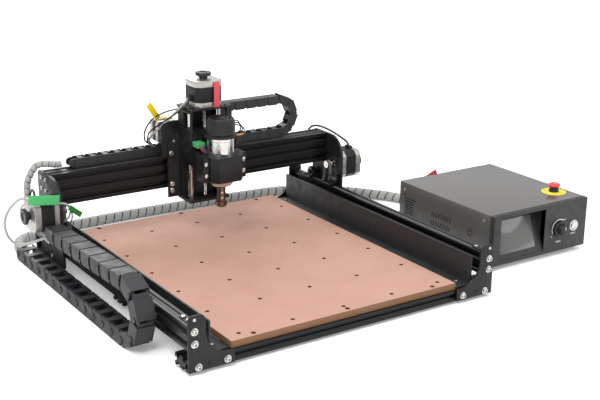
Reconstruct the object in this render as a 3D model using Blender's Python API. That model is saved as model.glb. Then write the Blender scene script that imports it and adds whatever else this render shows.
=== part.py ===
"""Desktop CNC router with a moving gantry and a separate control box.

All sizes below are millimetres; the helpers convert them to metres. The origin is the centre of
the bed's top face. X runs along the gantry beam, Y runs to the rear, Z is up. The floor is FLOOR_Z.
"""
import math

import bmesh
import bpy
from mathutils import Matrix, Vector

MM = 0.001
GAP = 0.3                     # working gap between touching pieces
FLOOR_Z = -38.0

# Bed
BED_X, BED_Y, BED_T = 450.0, 598.0, 12.0

# Slot of the extrusions
MOUTH, NECK, CAVITY = 4.6, 3.1, 5.5

# V wheels; SEAT is how deep a wheel's rim sits in a slot
WHEEL_R, WHEEL_W, SEAT = 11.95, 10.2, 1.65
PIN_R = 2.5
WHEEL_BORE_R = PIN_R + 0.4

# Fixed frame
RAIL_W, RAIL_H = 20.0, 40.0
RAIL_Z0 = 4.4
RAIL_TOP = RAIL_Z0 + RAIL_H
RAIL_X = BED_X / 2 + 67.6     # centre plane of a Y rail
RAIL_LENGTH = BED_Y + 6.8
PLATE_T = 4.0                 # corner plates
PLATE_IN, PLATE_OUT = RAIL_X - 69.6, RAIL_X + 10.4
CROSS_W, CROSS_H = 40.0, 20.0
CROSS_Z = -BED_T - GAP - CROSS_H / 2
CROSS_Y = RAIL_LENGTH / 2 - CROSS_W / 2
GUARD_IN, GUARD_X = BED_X / 2 + 3.0, RAIL_X - 32.6
FOOT_X = RAIL_X - 25.6

# Gantry
GANTRY_X = RAIL_X + RAIL_W / 2 + 1.4    # inner face of a gantry plate
GANTRY_T = 5.0
GANTRY_Y0, GANTRY_Y1 = 157.0, 261.0
UPPER_WHEEL_Y = (GANTRY_Y0 + 14.0, GANTRY_Y1 - 14.0)
UPPER_WHEEL_Z = RAIL_TOP + WHEEL_R - 0.9    # runs above the belt
LOWER_WHEEL_Y, LOWER_WHEEL_Z = (GANTRY_Y0 + GANTRY_Y1) / 2, RAIL_Z0 - WHEEL_R + SEAT
Y_MOTOR_Y, Y_MOTOR_Z = GANTRY_Y0 + 30.0, RAIL_TOP + 41.6
MOTOR_SIDE, MOTOR_CHAMFER, Y_MOTOR_LENGTH = 56.4, 9.0, 46.0
BEAM_W, BEAM_H = 40.0, 60.0
BEAM_Y1 = GANTRY_Y1 - 10.0
BEAM_Y0 = BEAM_Y1 - BEAM_W
BEAM_Z0 = RAIL_TOP + 42.6
BEAM_Z1 = BEAM_Z0 + BEAM_H
GANTRY_Z0, GANTRY_Z1 = LOWER_WHEEL_Z - 10.1, BEAM_Z1

# X carriage, parked a little left of the middle
CAR_X = -9.0
CAR_T = 5.0
CAR_Y1 = BEAM_Y0 - 7.0
CAR_Y0 = CAR_Y1 - CAR_T
X_WHEEL_Y = BEAM_Y0 + 10.0
X_WHEEL_DX = 56.0
X_WHEEL_TOP_Z, X_WHEEL_LOW_Z = BEAM_Z1 + WHEEL_R - SEAT, BEAM_Z0 - WHEEL_R + SEAT
X_MOTOR_DX, X_MOTOR_Z, X_MOTOR_SIDE = -47.0, BEAM_Z1 + 45.0, 42.3
STANDOFF = 26.0
Z_SCREW_Y = CAR_Y0 - 28.0
Z_TOP, Z_LOW = BEAM_Z1 + 100.0, BEAM_Z0 - 20.0    # undersides of the top and bottom plates
Z_MOTOR_LENGTH = 49.7
ROD_DX, ROD_R = 30.0, 5.0
Z_HALF = ROD_DX + 10.0        # half width of the Z axis

# Spindle
SPINDLE_R = 26.0
SPINDLE_Y = Z_SCREW_Y - 64.0
MOUNT_Z0, MOUNT_Z1 = Z_TOP - 105.0, Z_TOP - 39.0
CLAMP_H = 48.0
CLAMP_Z0 = MOUNT_Z0 - 19.0
CLAMP_Z1 = CLAMP_Z0 + CLAMP_H

# Drag chains
Y_CHAIN_W, Y_CHAIN_H = 32.0, 25.0
Y_CHAIN_X = -(GANTRY_X + GANTRY_T + 0.8 + Y_CHAIN_W / 2)
Y_CHAIN_BEND, Y_CHAIN_TOP = -154.0, 84.0
Y_CHAIN_END = Y_MOTOR_Y - MOTOR_SIDE / 2 - 2.8, Y_CHAIN_TOP - 11.0
X_CHAIN_W, X_CHAIN_H, X_CHAIN_RISE = 22.0, 18.0, 86.0
X_CHAIN_Y = BEAM_Y1 - 10.0
X_CHAIN_Z0 = BEAM_Z1 + GAP
X_CHAIN_Z1 = X_CHAIN_Z0 + X_CHAIN_RISE
X_CHAIN_BEND = 200.0
X_CHAIN_START = 34.0          # from the inner face of the left gantry plate

# Control box
BOX_W, BOX_D, BOX_H = 245.0, 280.0, 98.0
BOX_X0, BOX_Y0, BOX_Z0 = PLATE_OUT + 78.0, -224.0, FLOOR_Z + 10.0
BOX_X1, BOX_Y1, BOX_Z1 = BOX_X0 + BOX_W, BOX_Y0 + BOX_D, BOX_Z0 + BOX_H
BOX_WALL, BOX_FRONT_T = 2.5, 11.7

for old in list(bpy.data.objects):
    bpy.data.objects.remove(old, do_unlink=True)


def material(name, rgb, metallic, roughness):
    """A plain surface for one kind of material."""
    mat = bpy.data.materials.new(name)
    mat.use_nodes = True
    shader = mat.node_tree.nodes["Principled BSDF"]
    shader.inputs["Base Color"].default_value = (*rgb, 1.0)
    shader.inputs["Metallic"].default_value = metallic
    shader.inputs["Roughness"].default_value = roughness
    return mat


BLACK_ALU = material("black_anodised_aluminium", (0.018, 0.018, 0.02), 0.6, 0.4)
BLACK_COAT = material("black_powder_coat", (0.016, 0.016, 0.017), 0.0, 0.5)
MDF = material("mdf_board", (0.66, 0.42, 0.32), 0.0, 0.8)
RUBBER = material("black_rubber", (0.02, 0.02, 0.02), 0.0, 0.8)
BELT = material("belt_rubber", (0.11, 0.11, 0.11), 0.0, 0.7)
CHAIN = material("black_nylon", (0.03, 0.03, 0.032), 0.0, 0.55)
DELRIN = material("wheel_delrin", (0.02, 0.02, 0.02), 0.0, 0.4)
MOTOR = material("motor_steel", (0.03, 0.03, 0.032), 0.3, 0.5)
STEEL = material("bright_steel", (0.62, 0.61, 0.59), 1.0, 0.25)
BRASS_STEEL = material("collet_steel", (0.32, 0.27, 0.22), 1.0, 0.3)
KNOB = material("black_plastic", (0.02, 0.02, 0.02), 0.0, 0.45)
BOX_TOP = material("grey_painted_steel", (0.25, 0.24, 0.235), 0.2, 0.4)
BOX_FRONT = material("dark_grey_plastic", (0.075, 0.075, 0.072), 0.0, 0.5)
ESTOP_RED = material("red_plastic", (0.74, 0.045, 0.045), 0.0, 0.35)
WRAP = material("grey_spiral_wrap", (0.38, 0.38, 0.37), 0.0, 0.6)


def add(name, bm, mat):
    """Turns a bmesh in millimetres into a named object in metres."""
    bmesh.ops.recalc_face_normals(bm, faces=bm.faces)
    bmesh.ops.scale(bm, vec=(MM, MM, MM), verts=bm.verts)
    mesh = bpy.data.meshes.new(name)
    bm.to_mesh(mesh)
    bm.free()
    mesh.materials.append(mat)
    obj = bpy.data.objects.new(name, mesh)
    bpy.context.collection.objects.link(obj)
    return obj


def prism(outline, low, high, axis="z"):
    """Extrudes an outline. axis z: (x, y); axis y: (x, z); axis x: (y, z)."""
    bm = bmesh.new()
    place = {
        "z": lambda a, b, h: (a, b, h),
        "y": lambda a, b, h: (a, h, b),
        "x": lambda a, b, h: (h, a, b),
    }[axis]
    lower = [bm.verts.new(place(a, b, low)) for a, b in outline]
    upper = [bm.verts.new(place(a, b, high)) for a, b in outline]
    bm.faces.new(lower)
    bm.faces.new(upper)
    for i in range(len(outline)):
        j = (i + 1) % len(outline)
        bm.faces.new((lower[i], lower[j], upper[j], upper[i]))
    return bm


def box(x0, x1, y0, y1, z0, z1):
    return prism([(x0, y0), (x1, y0), (x1, y1), (x0, y1)], z0, z1)


def turned(profile, centre, axis="z", sides=24):
    """Revolves (radius, height) pairs about an axis through the centre."""
    bm = bmesh.new()
    rings = []
    for radius, height in profile:
        if radius == 0.0:
            rings.append([bm.verts.new((0.0, 0.0, height))])
            continue
        rings.append([
            bm.verts.new((radius * math.cos(2 * math.pi * k / sides),
                          radius * math.sin(2 * math.pi * k / sides), height))
            for k in range(sides)])
    closed = profile[0][0] > 0.0
    pairs = list(zip(rings, rings[1:]))
    if closed:
        pairs.append((rings[-1], rings[0]))
    for first, second in pairs:
        for k in range(sides):
            n = (k + 1) % sides
            corners = [first[k % len(first)], first[n % len(first)],
                       second[n % len(second)], second[k % len(second)]]
            unique = list(dict.fromkeys(corners))
            if len(unique) > 2:
                bm.faces.new(unique)
    turn = {
        "z": Matrix(),
        "x": Matrix.Rotation(math.pi / 2, 4, "Y"),
        "y": Matrix.Rotation(-math.pi / 2, 4, "X"),
    }[axis]
    bmesh.ops.transform(bm, matrix=Matrix.Translation(centre) @ turn, verts=bm.verts)
    return bm


def rod(radius, centre, length, axis="z", sides=16):
    """A cylinder that starts at the centre and runs along the axis."""
    return turned([(0.0, 0.0), (radius, 0.0), (radius, length), (0.0, length)], centre, axis, sides)


def helper(bm, name="cutter"):
    """A hidden object for a Boolean."""
    obj = add(name, bm, RUBBER)
    obj.hide_render = True
    obj.display_type = "WIRE"
    return obj


def boolean(obj, bm, operation):
    modifier = obj.modifiers.new(operation.lower(), "BOOLEAN")
    modifier.operation = operation
    modifier.solver = "EXACT"
    modifier.object = helper(bm, obj.name + "_" + operation.lower())


def join(obj, *shapes):
    for bm in shapes:
        boolean(obj, bm, "UNION")


def cut(obj, *shapes):
    for bm in shapes:
        boolean(obj, bm, "DIFFERENCE")


def slotted(width, height, across, up):
    """Outline of an extrusion, centred, with V slots at the given places on its sides."""
    def slot(place):
        return [(place - MOUTH, 0.0), (place - NECK, 1.8), (place - CAVITY, 1.8),
                (place - CAVITY, 3.6), (place - 2.9, 6.1), (place + 2.9, 6.1),
                (place + CAVITY, 3.6), (place + CAVITY, 1.8), (place + NECK, 1.8),
                (place + MOUTH, 0.0)]
    w, h = width / 2, height / 2
    outline = [(-w, -h)]
    for place in across:
        outline += [(a, -h + d) for a, d in slot(place)]
    outline.append((w, -h))
    for place in up:
        outline += [(w - d, a) for a, d in slot(place)]
    outline.append((w, h))
    for place in reversed(across):
        outline += [(a, h - d) for a, d in reversed(slot(place))]
    outline.append((-w, h))
    for place in reversed(up):
        outline += [(-w + d, a) for a, d in reversed(slot(place))]
    return outline


def moved(outline, a, b):
    return [(p + a, q + b) for p, q in outline]


def arc(a, b, radius, start, end, steps):
    """Points on a circle, angles in degrees."""
    angles = [math.radians(start + (end - start) * k / steps) for k in range(steps + 1)]
    return [(a + radius * math.cos(t), b + radius * math.sin(t)) for t in angles]


def mirrored(outline, side):
    return [(side * a, b) for a, b in outline]


# Fixed frame -----------------------------------------------------------------------------------
rail_outline = slotted(RAIL_W, RAIL_H, [0.0], [-10.0, 10.0])
half = RAIL_LENGTH / 2
for side, word in ((-1, "left"), (1, "right")):
    outline = moved(rail_outline, side * RAIL_X, RAIL_Z0 + RAIL_H / 2)
    add("y_rail_" + word, prism(outline, -half, half, "y"), BLACK_ALU)
    low, high = RAIL_TOP - 2.6, RAIL_TOP - 1.2
    x = side * RAIL_X
    belt = box(x - 2.8, x + 2.8, -half + 0.3, half - 0.3, low, high)
    obj = add("y_belt_" + word, belt, BELT)
    # the belt's ends are clamped on pads that reach the bottom of the slot
    for y in (-half + 8.0, half - 8.0):
        join(obj, box(x - 2.5, x + 2.5, y - 6.0, y + 6.0, RAIL_TOP - 5.8, low + 0.5))

for end, end_word in ((-1, "front"), (1, "rear")):
    for side, word in ((-1, "left"), (1, "right")):
        bottom = CROSS_Z - CROSS_H / 2 + 0.6
        outline = [(PLATE_IN, bottom), (PLATE_OUT, bottom)]
        outline += arc(PLATE_OUT - 10.0, RAIL_TOP + 5.6, 10.0, 0.0, 90.0, 4)
        outline += arc(PLATE_OUT - 20.0, RAIL_TOP + 5.6, 10.0, 90.0, 180.0, 4)
        outline += arc(PLATE_IN + 10.0, RAIL_TOP - 14.4, 40.0, 0.0, -90.0, 6)
        outline.append((PLATE_IN, RAIL_TOP - 54.4))
        y0, y1 = end * (half + GAP), end * (half + GAP + PLATE_T)
        add("end_plate_%s_%s" % (end_word, word),
            prism(mirrored(outline, side), min(y0, y1), max(y0, y1), "y"), BLACK_ALU)
        add("foot_%s_%s" % (end_word, word),
            turned([(0.0, FLOOR_Z), (8.4, FLOOR_Z), (9.0, FLOOR_Z + 0.8), (9.0, bottom - 0.9),
                    (0.0, bottom - 0.9)], (side * FOOT_X, end * CROSS_Y, 0.0), "z", 16), RUBBER)

cross_outline = slotted(CROSS_W, CROSS_H, [-10.0, 10.0], [0.0])
for y, word, reach in ((-CROSS_Y, "front", PLATE_OUT), (0.0, "middle", RAIL_X - 17.6),
                       (CROSS_Y, "rear", PLATE_OUT)):
    add("crossbeam_" + word, prism(moved(cross_outline, y, CROSS_Z), -reach, reach, "x"), BLACK_ALU)

for side, word in ((-1, "left"), (1, "right")):
    guard_top = RAIL_TOP - 2.4
    sheet = [(GUARD_IN, -BED_T), (GUARD_X + 3.0, -BED_T), (GUARD_X + 3.0, guard_top),
             (GUARD_X, guard_top), (GUARD_X, -BED_T + 2.5), (GUARD_IN, -BED_T + 2.5)]
    add("guard_" + word,
        prism(mirrored(sheet, side), -half + 5.4, half - 5.4, "y"), BLACK_COAT)

board = add("spoilboard", box(-BED_X / 2, BED_X / 2, -BED_Y / 2, BED_Y / 2, -BED_T, 0.0), MDF)
for row in range(6):
    for col in range(5):
        cut(board, rod(3.6, ((col - 2) * 100.0, -BED_Y / 2 + 20.0 + row * 100.0, -7.0),
                       10.0, "z", 8))

# Gantry ----------------------------------------------------------------------------------------
w, flank = WHEEL_W / 2, WHEEL_R - 2.15
wheel_profile = [(WHEEL_BORE_R, -w), (flank, -w), (WHEEL_R, 2.4 - w), (WHEEL_R, w - 2.4),
                 (flank, w), (WHEEL_BORE_R, w)]


def wheel(name, centre, axis):
    add(name, turned(wheel_profile, centre, axis, 20), DELRIN)


def wheel_pin(obj, centre, direction, axis, reach):
    """Spacer, pin and head that hold a wheel on a plate; direction points from plate to wheel."""
    side = WHEEL_W / 2 + GAP
    profile = [(0.0, -reach), (4.0, -reach), (4.0, -side), (PIN_R, -side), (PIN_R, side),
               (4.5, side), (4.5, side + 3.0), (0.0, side + 3.0)]
    join(obj, turned([(r, direction * h) for r, h in profile], centre, axis, 12))


for side, word in ((-1, "left"), (1, "right")):
    outline = [(GANTRY_Y0, GANTRY_Z0), (GANTRY_Y1, GANTRY_Z0), (GANTRY_Y1, GANTRY_Z1 - 6.0),
               (GANTRY_Y1 - 6.0, GANTRY_Z1)]
    outline += arc(GANTRY_Y0 + 42.0, GANTRY_Z1 - 42.0, 42.0, 90.0, 180.0, 6)
    x0, x1 = sorted((side * GANTRY_X, side * (GANTRY_X + GANTRY_T)))
    plate = add("gantry_plate_" + word, prism(outline, x0, x1, "x"), BLACK_ALU)
    cut(plate, rod(9.0, (x0 - 5.0, Y_MOTOR_Y, Y_MOTOR_Z), 15.0, "x", 20))
    spots = [(y, UPPER_WHEEL_Z, n) for y, n in zip(UPPER_WHEEL_Y, ("front", "rear"))]
    spots.append((LOWER_WHEEL_Y, LOWER_WHEEL_Z, "lower"))
    for y, z, place in spots:
        centre = (side * RAIL_X, y, z)
        wheel("y_wheel_%s_%s" % (word, place), centre, "x")
        wheel_pin(plate, centre, -side, "x", GANTRY_X - RAIL_X + 1.0)
    a, b = Y_MOTOR_Y, Y_MOTOR_Z
    s, c = MOTOR_SIDE / 2, MOTOR_CHAMFER
    square = [(a - s, b - s + c), (a - s + c, b - s), (a + s - c, b - s), (a + s, b - s + c),
              (a + s, b + s - c), (a + s - c, b + s), (a - s + c, b + s), (a - s, b + s - c)]
    m0, m1 = sorted((side * (GANTRY_X + GANTRY_T + GAP),
                     side * (GANTRY_X + GANTRY_T + GAP + Y_MOTOR_LENGTH)))
    motor = add("y_motor_" + word, prism(square, m0, m1, "x"), MOTOR)
    cut(motor, rod(3.1, (m0 - 5.0, a, b), Y_MOTOR_LENGTH + 10.0, "x", 16))
    out = GANTRY_X + GANTRY_T + GAP + Y_MOTOR_LENGTH
    near, far = GANTRY_X - 18.0, GANTRY_X - 4.5
    shaft = [(0.0, near), (6.4, near), (6.4, far), (2.5, far), (2.5, out + 0.8),
             (9.0, out + 0.8), (9.0, out + 8.0), (15.0, out + 8.6), (15.0, out + 16.0),
             (6.0, out + 16.0), (6.0, out + 13.0), (0.0, out + 13.0)]
    add("y_drive_shaft_" + word,
        turned([(r, side * h) for r, h in shaft], (0.0, a, b), "x", 20), KNOB)

beam_outline = slotted(BEAM_W, BEAM_H, [-10.0, 10.0], [-20.0, 0.0, 20.0])
add("gantry_beam",
    prism(moved(beam_outline, (BEAM_Y0 + BEAM_Y1) / 2, (BEAM_Z0 + BEAM_Z1) / 2),
          -GANTRY_X + GAP, GANTRY_X - GAP, "x"), BLACK_ALU)

# X carriage ------------------------------------------------------------------------------------
reach = X_WHEEL_DX + 7.0
outline = [(CAR_X - reach, Z_LOW + 3.0), (CAR_X + reach, Z_LOW + 3.0)]
outline += arc(CAR_X + reach - 25.0, BEAM_Z1 + 25.0, 25.0, 0.0, 90.0, 5)
outline += arc(CAR_X - reach + 25.0, BEAM_Z1 + 25.0, 25.0, 90.0, 180.0, 5)
carriage = add("carriage_plate", prism(outline, CAR_Y0, CAR_Y1, "y"), BLACK_ALU)
outline = [(CAR_X - 74.0, BEAM_Z1 + 1.0), (CAR_X - 20.0, BEAM_Z1 + 1.0)]
outline += arc(CAR_X - 36.0, X_MOTOR_Z + 11.0, 16.0, 0.0, 90.0, 4)
outline += arc(CAR_X - 58.0, X_MOTOR_Z + 11.0, 16.0, 90.0, 180.0, 4)
join(carriage, prism(outline, CAR_Y1 - 1.0, CAR_Y1 + 3.0, "y"))
# frame of the Z axis: back channel, top plate and bottom plate
h = Z_HALF
channel = [(-h, CAR_Y0 - 14.0), (5.0 - h, CAR_Y0 - 14.0), (5.0 - h, CAR_Y0 - 4.0),
           (h - 5.0, CAR_Y0 - 4.0), (h - 5.0, CAR_Y0 - 14.0), (h, CAR_Y0 - 14.0),
           (h, CAR_Y0 + 1.0), (-h, CAR_Y0 + 1.0)]
join(carriage,
     prism(moved(channel, CAR_X, 0.0), Z_LOW + 2.0, Z_TOP + 2.0),
     box(CAR_X - h - 1.0, CAR_X + h + 1.0, Z_SCREW_Y - 30.0, CAR_Y0 + 4.0, Z_TOP, Z_TOP + 4.0),
     box(CAR_X - h - 2.0, CAR_X + h + 2.0, Z_SCREW_Y - 21.0, CAR_Y0 + 2.0, Z_LOW, Z_LOW + 5.0))
# arm that holds the moving end of the drag chain
join(carriage,
     box(CAR_X + 26.0, CAR_X + 78.0, CAR_Y0 + 0.5, CAR_Y1 - 0.5, BEAM_Z1 + 23.0,
         X_CHAIN_Z1 + 3.0),
     box(CAR_X + 25.0, CAR_X + 79.0, CAR_Y0 + 0.9, X_CHAIN_Y + X_CHAIN_W / 2,
         X_CHAIN_Z1 + GAP, X_CHAIN_Z1 + 3.3))
for dx, z, word in ((-X_WHEEL_DX, X_WHEEL_TOP_Z, "upper_left"),
                    (X_WHEEL_DX, X_WHEEL_TOP_Z, "upper_right"), (0.0, X_WHEEL_LOW_Z, "lower")):
    centre = (CAR_X + dx, X_WHEEL_Y, z)
    wheel("x_wheel_" + word, centre, "y")
    wheel_pin(carriage, centre, 1, "y", X_WHEEL_Y - CAR_Y1 + 1.2)
mx, mz = CAR_X + X_MOTOR_DX, X_MOTOR_Z
for dx in (-15.5, 15.5):
    for dz in (-15.5, 15.5):
        join(carriage, rod(3.0, (mx + dx, CAR_Y1 + 0.7, mz + dz), STANDOFF - 1.0, "y", 8))
# bores for the lead screw and the rods
cut(carriage,
    rod(5.0, (CAR_X, Z_SCREW_Y, Z_LOW - 5.0), 20.0, "z", 16),
    rod(12.0, (CAR_X, Z_SCREW_Y, Z_TOP - 5.0), 20.0, "z", 20))
for dx in (-ROD_DX, ROD_DX):
    cut(carriage, rod(ROD_R + GAP, (CAR_X + dx, Z_SCREW_Y, Z_LOW + 2.0), 20.0, "z", 16))

def octagon(side, chamfer):
    s = side / 2
    return [(-s, -s + chamfer), (-s + chamfer, -s), (s - chamfer, -s), (s, -s + chamfer),
            (s, s - chamfer), (s - chamfer, s), (-s + chamfer, s), (-s, s - chamfer)]


x_motor = add("x_motor", prism(moved(octagon(X_MOTOR_SIDE, 4.0), mx, mz), CAR_Y1 + STANDOFF,
                               CAR_Y1 + STANDOFF + 34.0, "y"), MOTOR)
cut(x_motor, rod(3.1, (mx, CAR_Y1 + STANDOFF - 6.0, mz), 50.0, "y", 16))
near, far = CAR_Y1 + 6.0, CAR_Y1 + STANDOFF + 36.0
add("x_drive_pulley",
    turned([(0.0, near), (6.4, near), (6.4, near + 14.0), (2.5, near + 14.0), (2.5, far),
            (0.0, far)], (mx, 0.0, mz), "y", 20), STEEL)

z_motor = add("z_motor",
              prism(moved(octagon(MOTOR_SIDE, MOTOR_CHAMFER), CAR_X, Z_SCREW_Y),
                    Z_TOP + 4.0 + GAP, Z_TOP + 4.0 + GAP + Z_MOTOR_LENGTH), MOTOR)
cut(z_motor, rod(4.6, (CAR_X, Z_SCREW_Y, Z_TOP), Z_MOTOR_LENGTH + 20.3, "z", 16))
top = Z_TOP + 4.0 + GAP + Z_MOTOR_LENGTH
add("z_lead_screw",
    turned([(0.0, Z_LOW - 5.0), (4.0, Z_LOW - 5.0), (4.0, top + 0.8), (8.5, top + 0.8), (8.5, top + 5.5),
            (15.0, top + 6.5), (15.0, top + 12.5), (6.0, top + 12.5), (6.0, top + 10.0),
            (0.0, top + 10.0)], (CAR_X, Z_SCREW_Y, 0.0), "z", 20), STEEL)
for side, word in ((-1, "left"), (1, "right")):
    add("z_guide_rod_" + word,
        rod(ROD_R, (CAR_X + side * ROD_DX, Z_SCREW_Y, Z_LOW + 2.0 + GAP),
            Z_TOP - Z_LOW - 2.0 - 2 * GAP),
        STEEL)

# Spindle carriage ------------------------------------------------------------------------------
back, front = Z_SCREW_Y + 13.0, Z_SCREW_Y - 24.0
mount = add("spindle_mount", box(CAR_X - h, CAR_X + h, front, back, MOUNT_Z0, MOUNT_Z1), BLACK_ALU)
wide = SPINDLE_R + 8.0
join(mount, box(CAR_X - wide, CAR_X + wide, SPINDLE_Y + 5.0, front + 1.0, CLAMP_Z0, CLAMP_Z1))
ear = SPINDLE_R + 19.0
clamp = [(3.0 - SPINDLE_R, -SPINDLE_R - 9.0), (SPINDLE_R - 3.0, -SPINDLE_R - 9.0), (wide, -22.0),
         (wide, -15.0), (ear, -15.0), (ear, 13.0), (-ear, 13.0), (-ear, -15.0), (-wide, -15.0),
         (-wide, -22.0)]
join(mount, prism(moved(clamp, CAR_X, SPINDLE_Y), CLAMP_Z0 + 0.05, CLAMP_Z1 - 0.05))
cut(mount, rod(SPINDLE_R + GAP, (CAR_X, SPINDLE_Y, CLAMP_Z0 - 10.0), CLAMP_H + 22.0, "z", 32),
    rod(5.0, (CAR_X, Z_SCREW_Y, MOUNT_Z0 - 12.0), 90.0, "z", 16))
for side in (-1, 1):
    x = CAR_X + side * (h - 2.0)
    join(mount, box(x - 2.0, x + 2.0, front, back, MOUNT_Z1 - 2.0, Z_TOP - 2.5))
    cut(mount, box(x - 4.0, x + 4.0, front + 5.5, back - 5.5, MOUNT_Z1 + 3.0, Z_TOP - 7.0))
for dx in (-ROD_DX, ROD_DX):
    cut(mount, rod(ROD_R + 0.5, (CAR_X + dx, Z_SCREW_Y, MOUNT_Z0 - 12.0), 90.0, "z", 16))

low, high = CLAMP_Z0 - 12.0, CLAMP_Z1 + 38.5
body = [(8.5, low), (SPINDLE_R - 6.0, low), (SPINDLE_R, low + 10.0), (SPINDLE_R, high - 5.5),
        (SPINDLE_R + 4.0, high - 5.5), (SPINDLE_R + 4.0, high), (8.5, high)]
add("spindle_body", turned(body, (CAR_X, SPINDLE_Y, 0.0), "z", 32), STEEL)
cover = add("spindle_fan_cover",
            prism(arc(CAR_X, SPINDLE_Y, SPINDLE_R, 0.0, 348.75, 31), high + GAP, high + 30.0), KNOB)
for k in range(4):
    turn = 90.0 * k
    window = arc(0.0, 0.0, SPINDLE_R - 5.5, turn + 6.0, turn + 84.0, 6)
    window += arc(0.0, 0.0, 8.0, turn + 72.0, turn + 18.0, 4)
    cut(cover, prism(moved(window, CAR_X, SPINDLE_Y), high + 15.5, high + 40.5))
tip = low - 43.0
add("spindle_collet",
    turned([(0.0, tip), (8.2, tip), (9.5, tip + 1.5), (9.5, tip + 11.0), (8.0, tip + 11.5),
            (8.0, high - 4.5), (0.0, high - 4.5)], (CAR_X, SPINDLE_Y, 0.0), "z", 24), BRASS_STEEL)

# Drag chains -----------------------------------------------------------------------------------
x0, x1 = Y_CHAIN_X - Y_CHAIN_W / 2, Y_CHAIN_X + Y_CHAIN_W / 2
radius = (Y_CHAIN_TOP - FLOOR_Z) / 2
middle = (Y_CHAIN_TOP + FLOOR_Z) / 2
add("y_chain_lower_run",
    box(x0, x1, Y_CHAIN_BEND + GAP, half + 8.6, FLOOR_Z, FLOOR_Z + Y_CHAIN_H), CHAIN)
loop = arc(Y_CHAIN_BEND, middle, radius, 90.0, 270.0, 14)
loop += arc(Y_CHAIN_BEND, middle, radius - Y_CHAIN_H, 270.0, 90.0, 14)
add("y_chain_loop", prism(loop, x0, x1, "x"), CHAIN)
end_y, end_z = Y_CHAIN_END
upper = add("y_chain_upper_run",
            prism([(Y_CHAIN_BEND + GAP, Y_CHAIN_TOP - Y_CHAIN_H), (Y_CHAIN_BEND + GAP, Y_CHAIN_TOP),
                   (end_y, end_z), (end_y, end_z - Y_CHAIN_H)], x0, x1, "x"), CHAIN)
# end bracket, screwed to the outer face of the left gantry plate
face, low = -GANTRY_X - GANTRY_T, end_z - Y_CHAIN_H
join(upper, box(x0 + 1.0, face - GAP, end_y - 18.0, end_y, low - 2.5, low + 1.5),
     box(face - 4.0, face - 0.5, end_y - 16.0, end_y + 21.0, low - 14.0, low + 0.5))

y0, y1 = X_CHAIN_Y - X_CHAIN_W / 2, X_CHAIN_Y + X_CHAIN_W / 2
radius = (X_CHAIN_Z1 - X_CHAIN_Z0) / 2
middle = (X_CHAIN_Z1 + X_CHAIN_Z0) / 2
add("x_chain_lower_run",
    box(X_CHAIN_START - GANTRY_X, X_CHAIN_BEND - GAP, y0, y1, X_CHAIN_Z0, X_CHAIN_Z0 + X_CHAIN_H), CHAIN)
loop = arc(X_CHAIN_BEND, middle, radius, 90.0, -90.0, 14)
loop += arc(X_CHAIN_BEND, middle, radius - X_CHAIN_H, -90.0, 90.0, 14)
add("x_chain_loop", prism(loop, y0, y1, "y"), CHAIN)
add("x_chain_upper_run",
    box(CAR_X + 28.0, X_CHAIN_BEND - GAP, y0, y1, X_CHAIN_Z1 - X_CHAIN_H, X_CHAIN_Z1), CHAIN)

# Controller ------------------------------------------------------------------------------------
seam = BOX_Y0 + BOX_FRONT_T + GAP       # front edge of the cover
inner = BOX_WALL + GAP
base = add("controller_base",
           box(BOX_X0 + inner, BOX_X1 - inner, seam + 0.4, BOX_Y1 - inner, BOX_Z0, BOX_Z0 + 22.0),
           BOX_FRONT)
for x in (BOX_X0 + 25.0, BOX_X1 - 25.0):
    for y in (BOX_Y0 + 35.0, BOX_Y1 - 25.0):
        join(base, rod(8.0, (x, y, FLOOR_Z), BOX_Z0 - FLOOR_Z + 2.0, "z", 12))
cover = add("controller_cover",
            box(BOX_X0, BOX_X1, seam, BOX_Y1, BOX_Z0 + 1.0, BOX_Z1), BOX_TOP)
cut(cover, box(BOX_X0 + BOX_WALL, BOX_X1 - BOX_WALL, BOX_Y0, BOX_Y1 - BOX_WALL, BOX_Z0 - 5.0,
               BOX_Z1 - BOX_WALL))
front = add("controller_front_panel",
            box(BOX_X0, BOX_X1, BOX_Y0, BOX_Y0 + BOX_FRONT_T, BOX_Z0, BOX_Z1), BOX_FRONT)
BUTTON_X, KNOB_X, KNOB_Z = BOX_X1 - 34.3, BOX_X1 - 73.5, BOX_Z0 + 46.0
recess = [(BOX_Y0 - 5.0, BOX_Z0 + 8.0), (BOX_Y0, BOX_Z0 + 8.0), (BOX_Y0 + 9.0, BOX_Z1 - 6.0),
          (BOX_Y0 - 5.0, BOX_Z1 - 6.0)]
cut(front, prism(recess, BOX_X0 + 17.15, KNOB_X - 39.2, "x"))
cut(front, rod(4.0, (KNOB_X, BOX_Y0 - 5.0, KNOB_Z), 12.0, "y", 16),
    rod(8.3, (BUTTON_X, BOX_Y0 - 5.0, KNOB_Z), 14.0, "y", 20))
add("speed_knob",
    turned([(0.0, -17.0), (9.5, -17.0), (10.5, -16.0), (11.0, -6.0), (15.0, -5.5), (15.5, -0.4),
            (3.5, -0.4), (3.5, 6.0), (0.0, 6.0)], (KNOB_X, BOX_Y0, KNOB_Z), "y", 24), KNOB)
add("start_button",
    turned([(0.0, -3.6), (7.4, -3.6), (8.0, -3.0), (8.0, 6.0), (0.0, 6.0)],
           (BUTTON_X, BOX_Y0, KNOB_Z), "y", 24), STEEL)
STOP_X, STOP_Y = BOX_X1 - 34.0, BOX_Y0 + 59.0
add("estop_collar",
    turned([(5.5, BOX_Z1 + GAP), (24.0, BOX_Z1 + GAP), (24.0, BOX_Z1 + 1.6), (9.6, BOX_Z1 + 1.6),
            (9.2, BOX_Z1 + 9.0), (5.5, BOX_Z1 + 9.0)], (STOP_X, STOP_Y, 0.0), "z", 28), KNOB)
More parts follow.
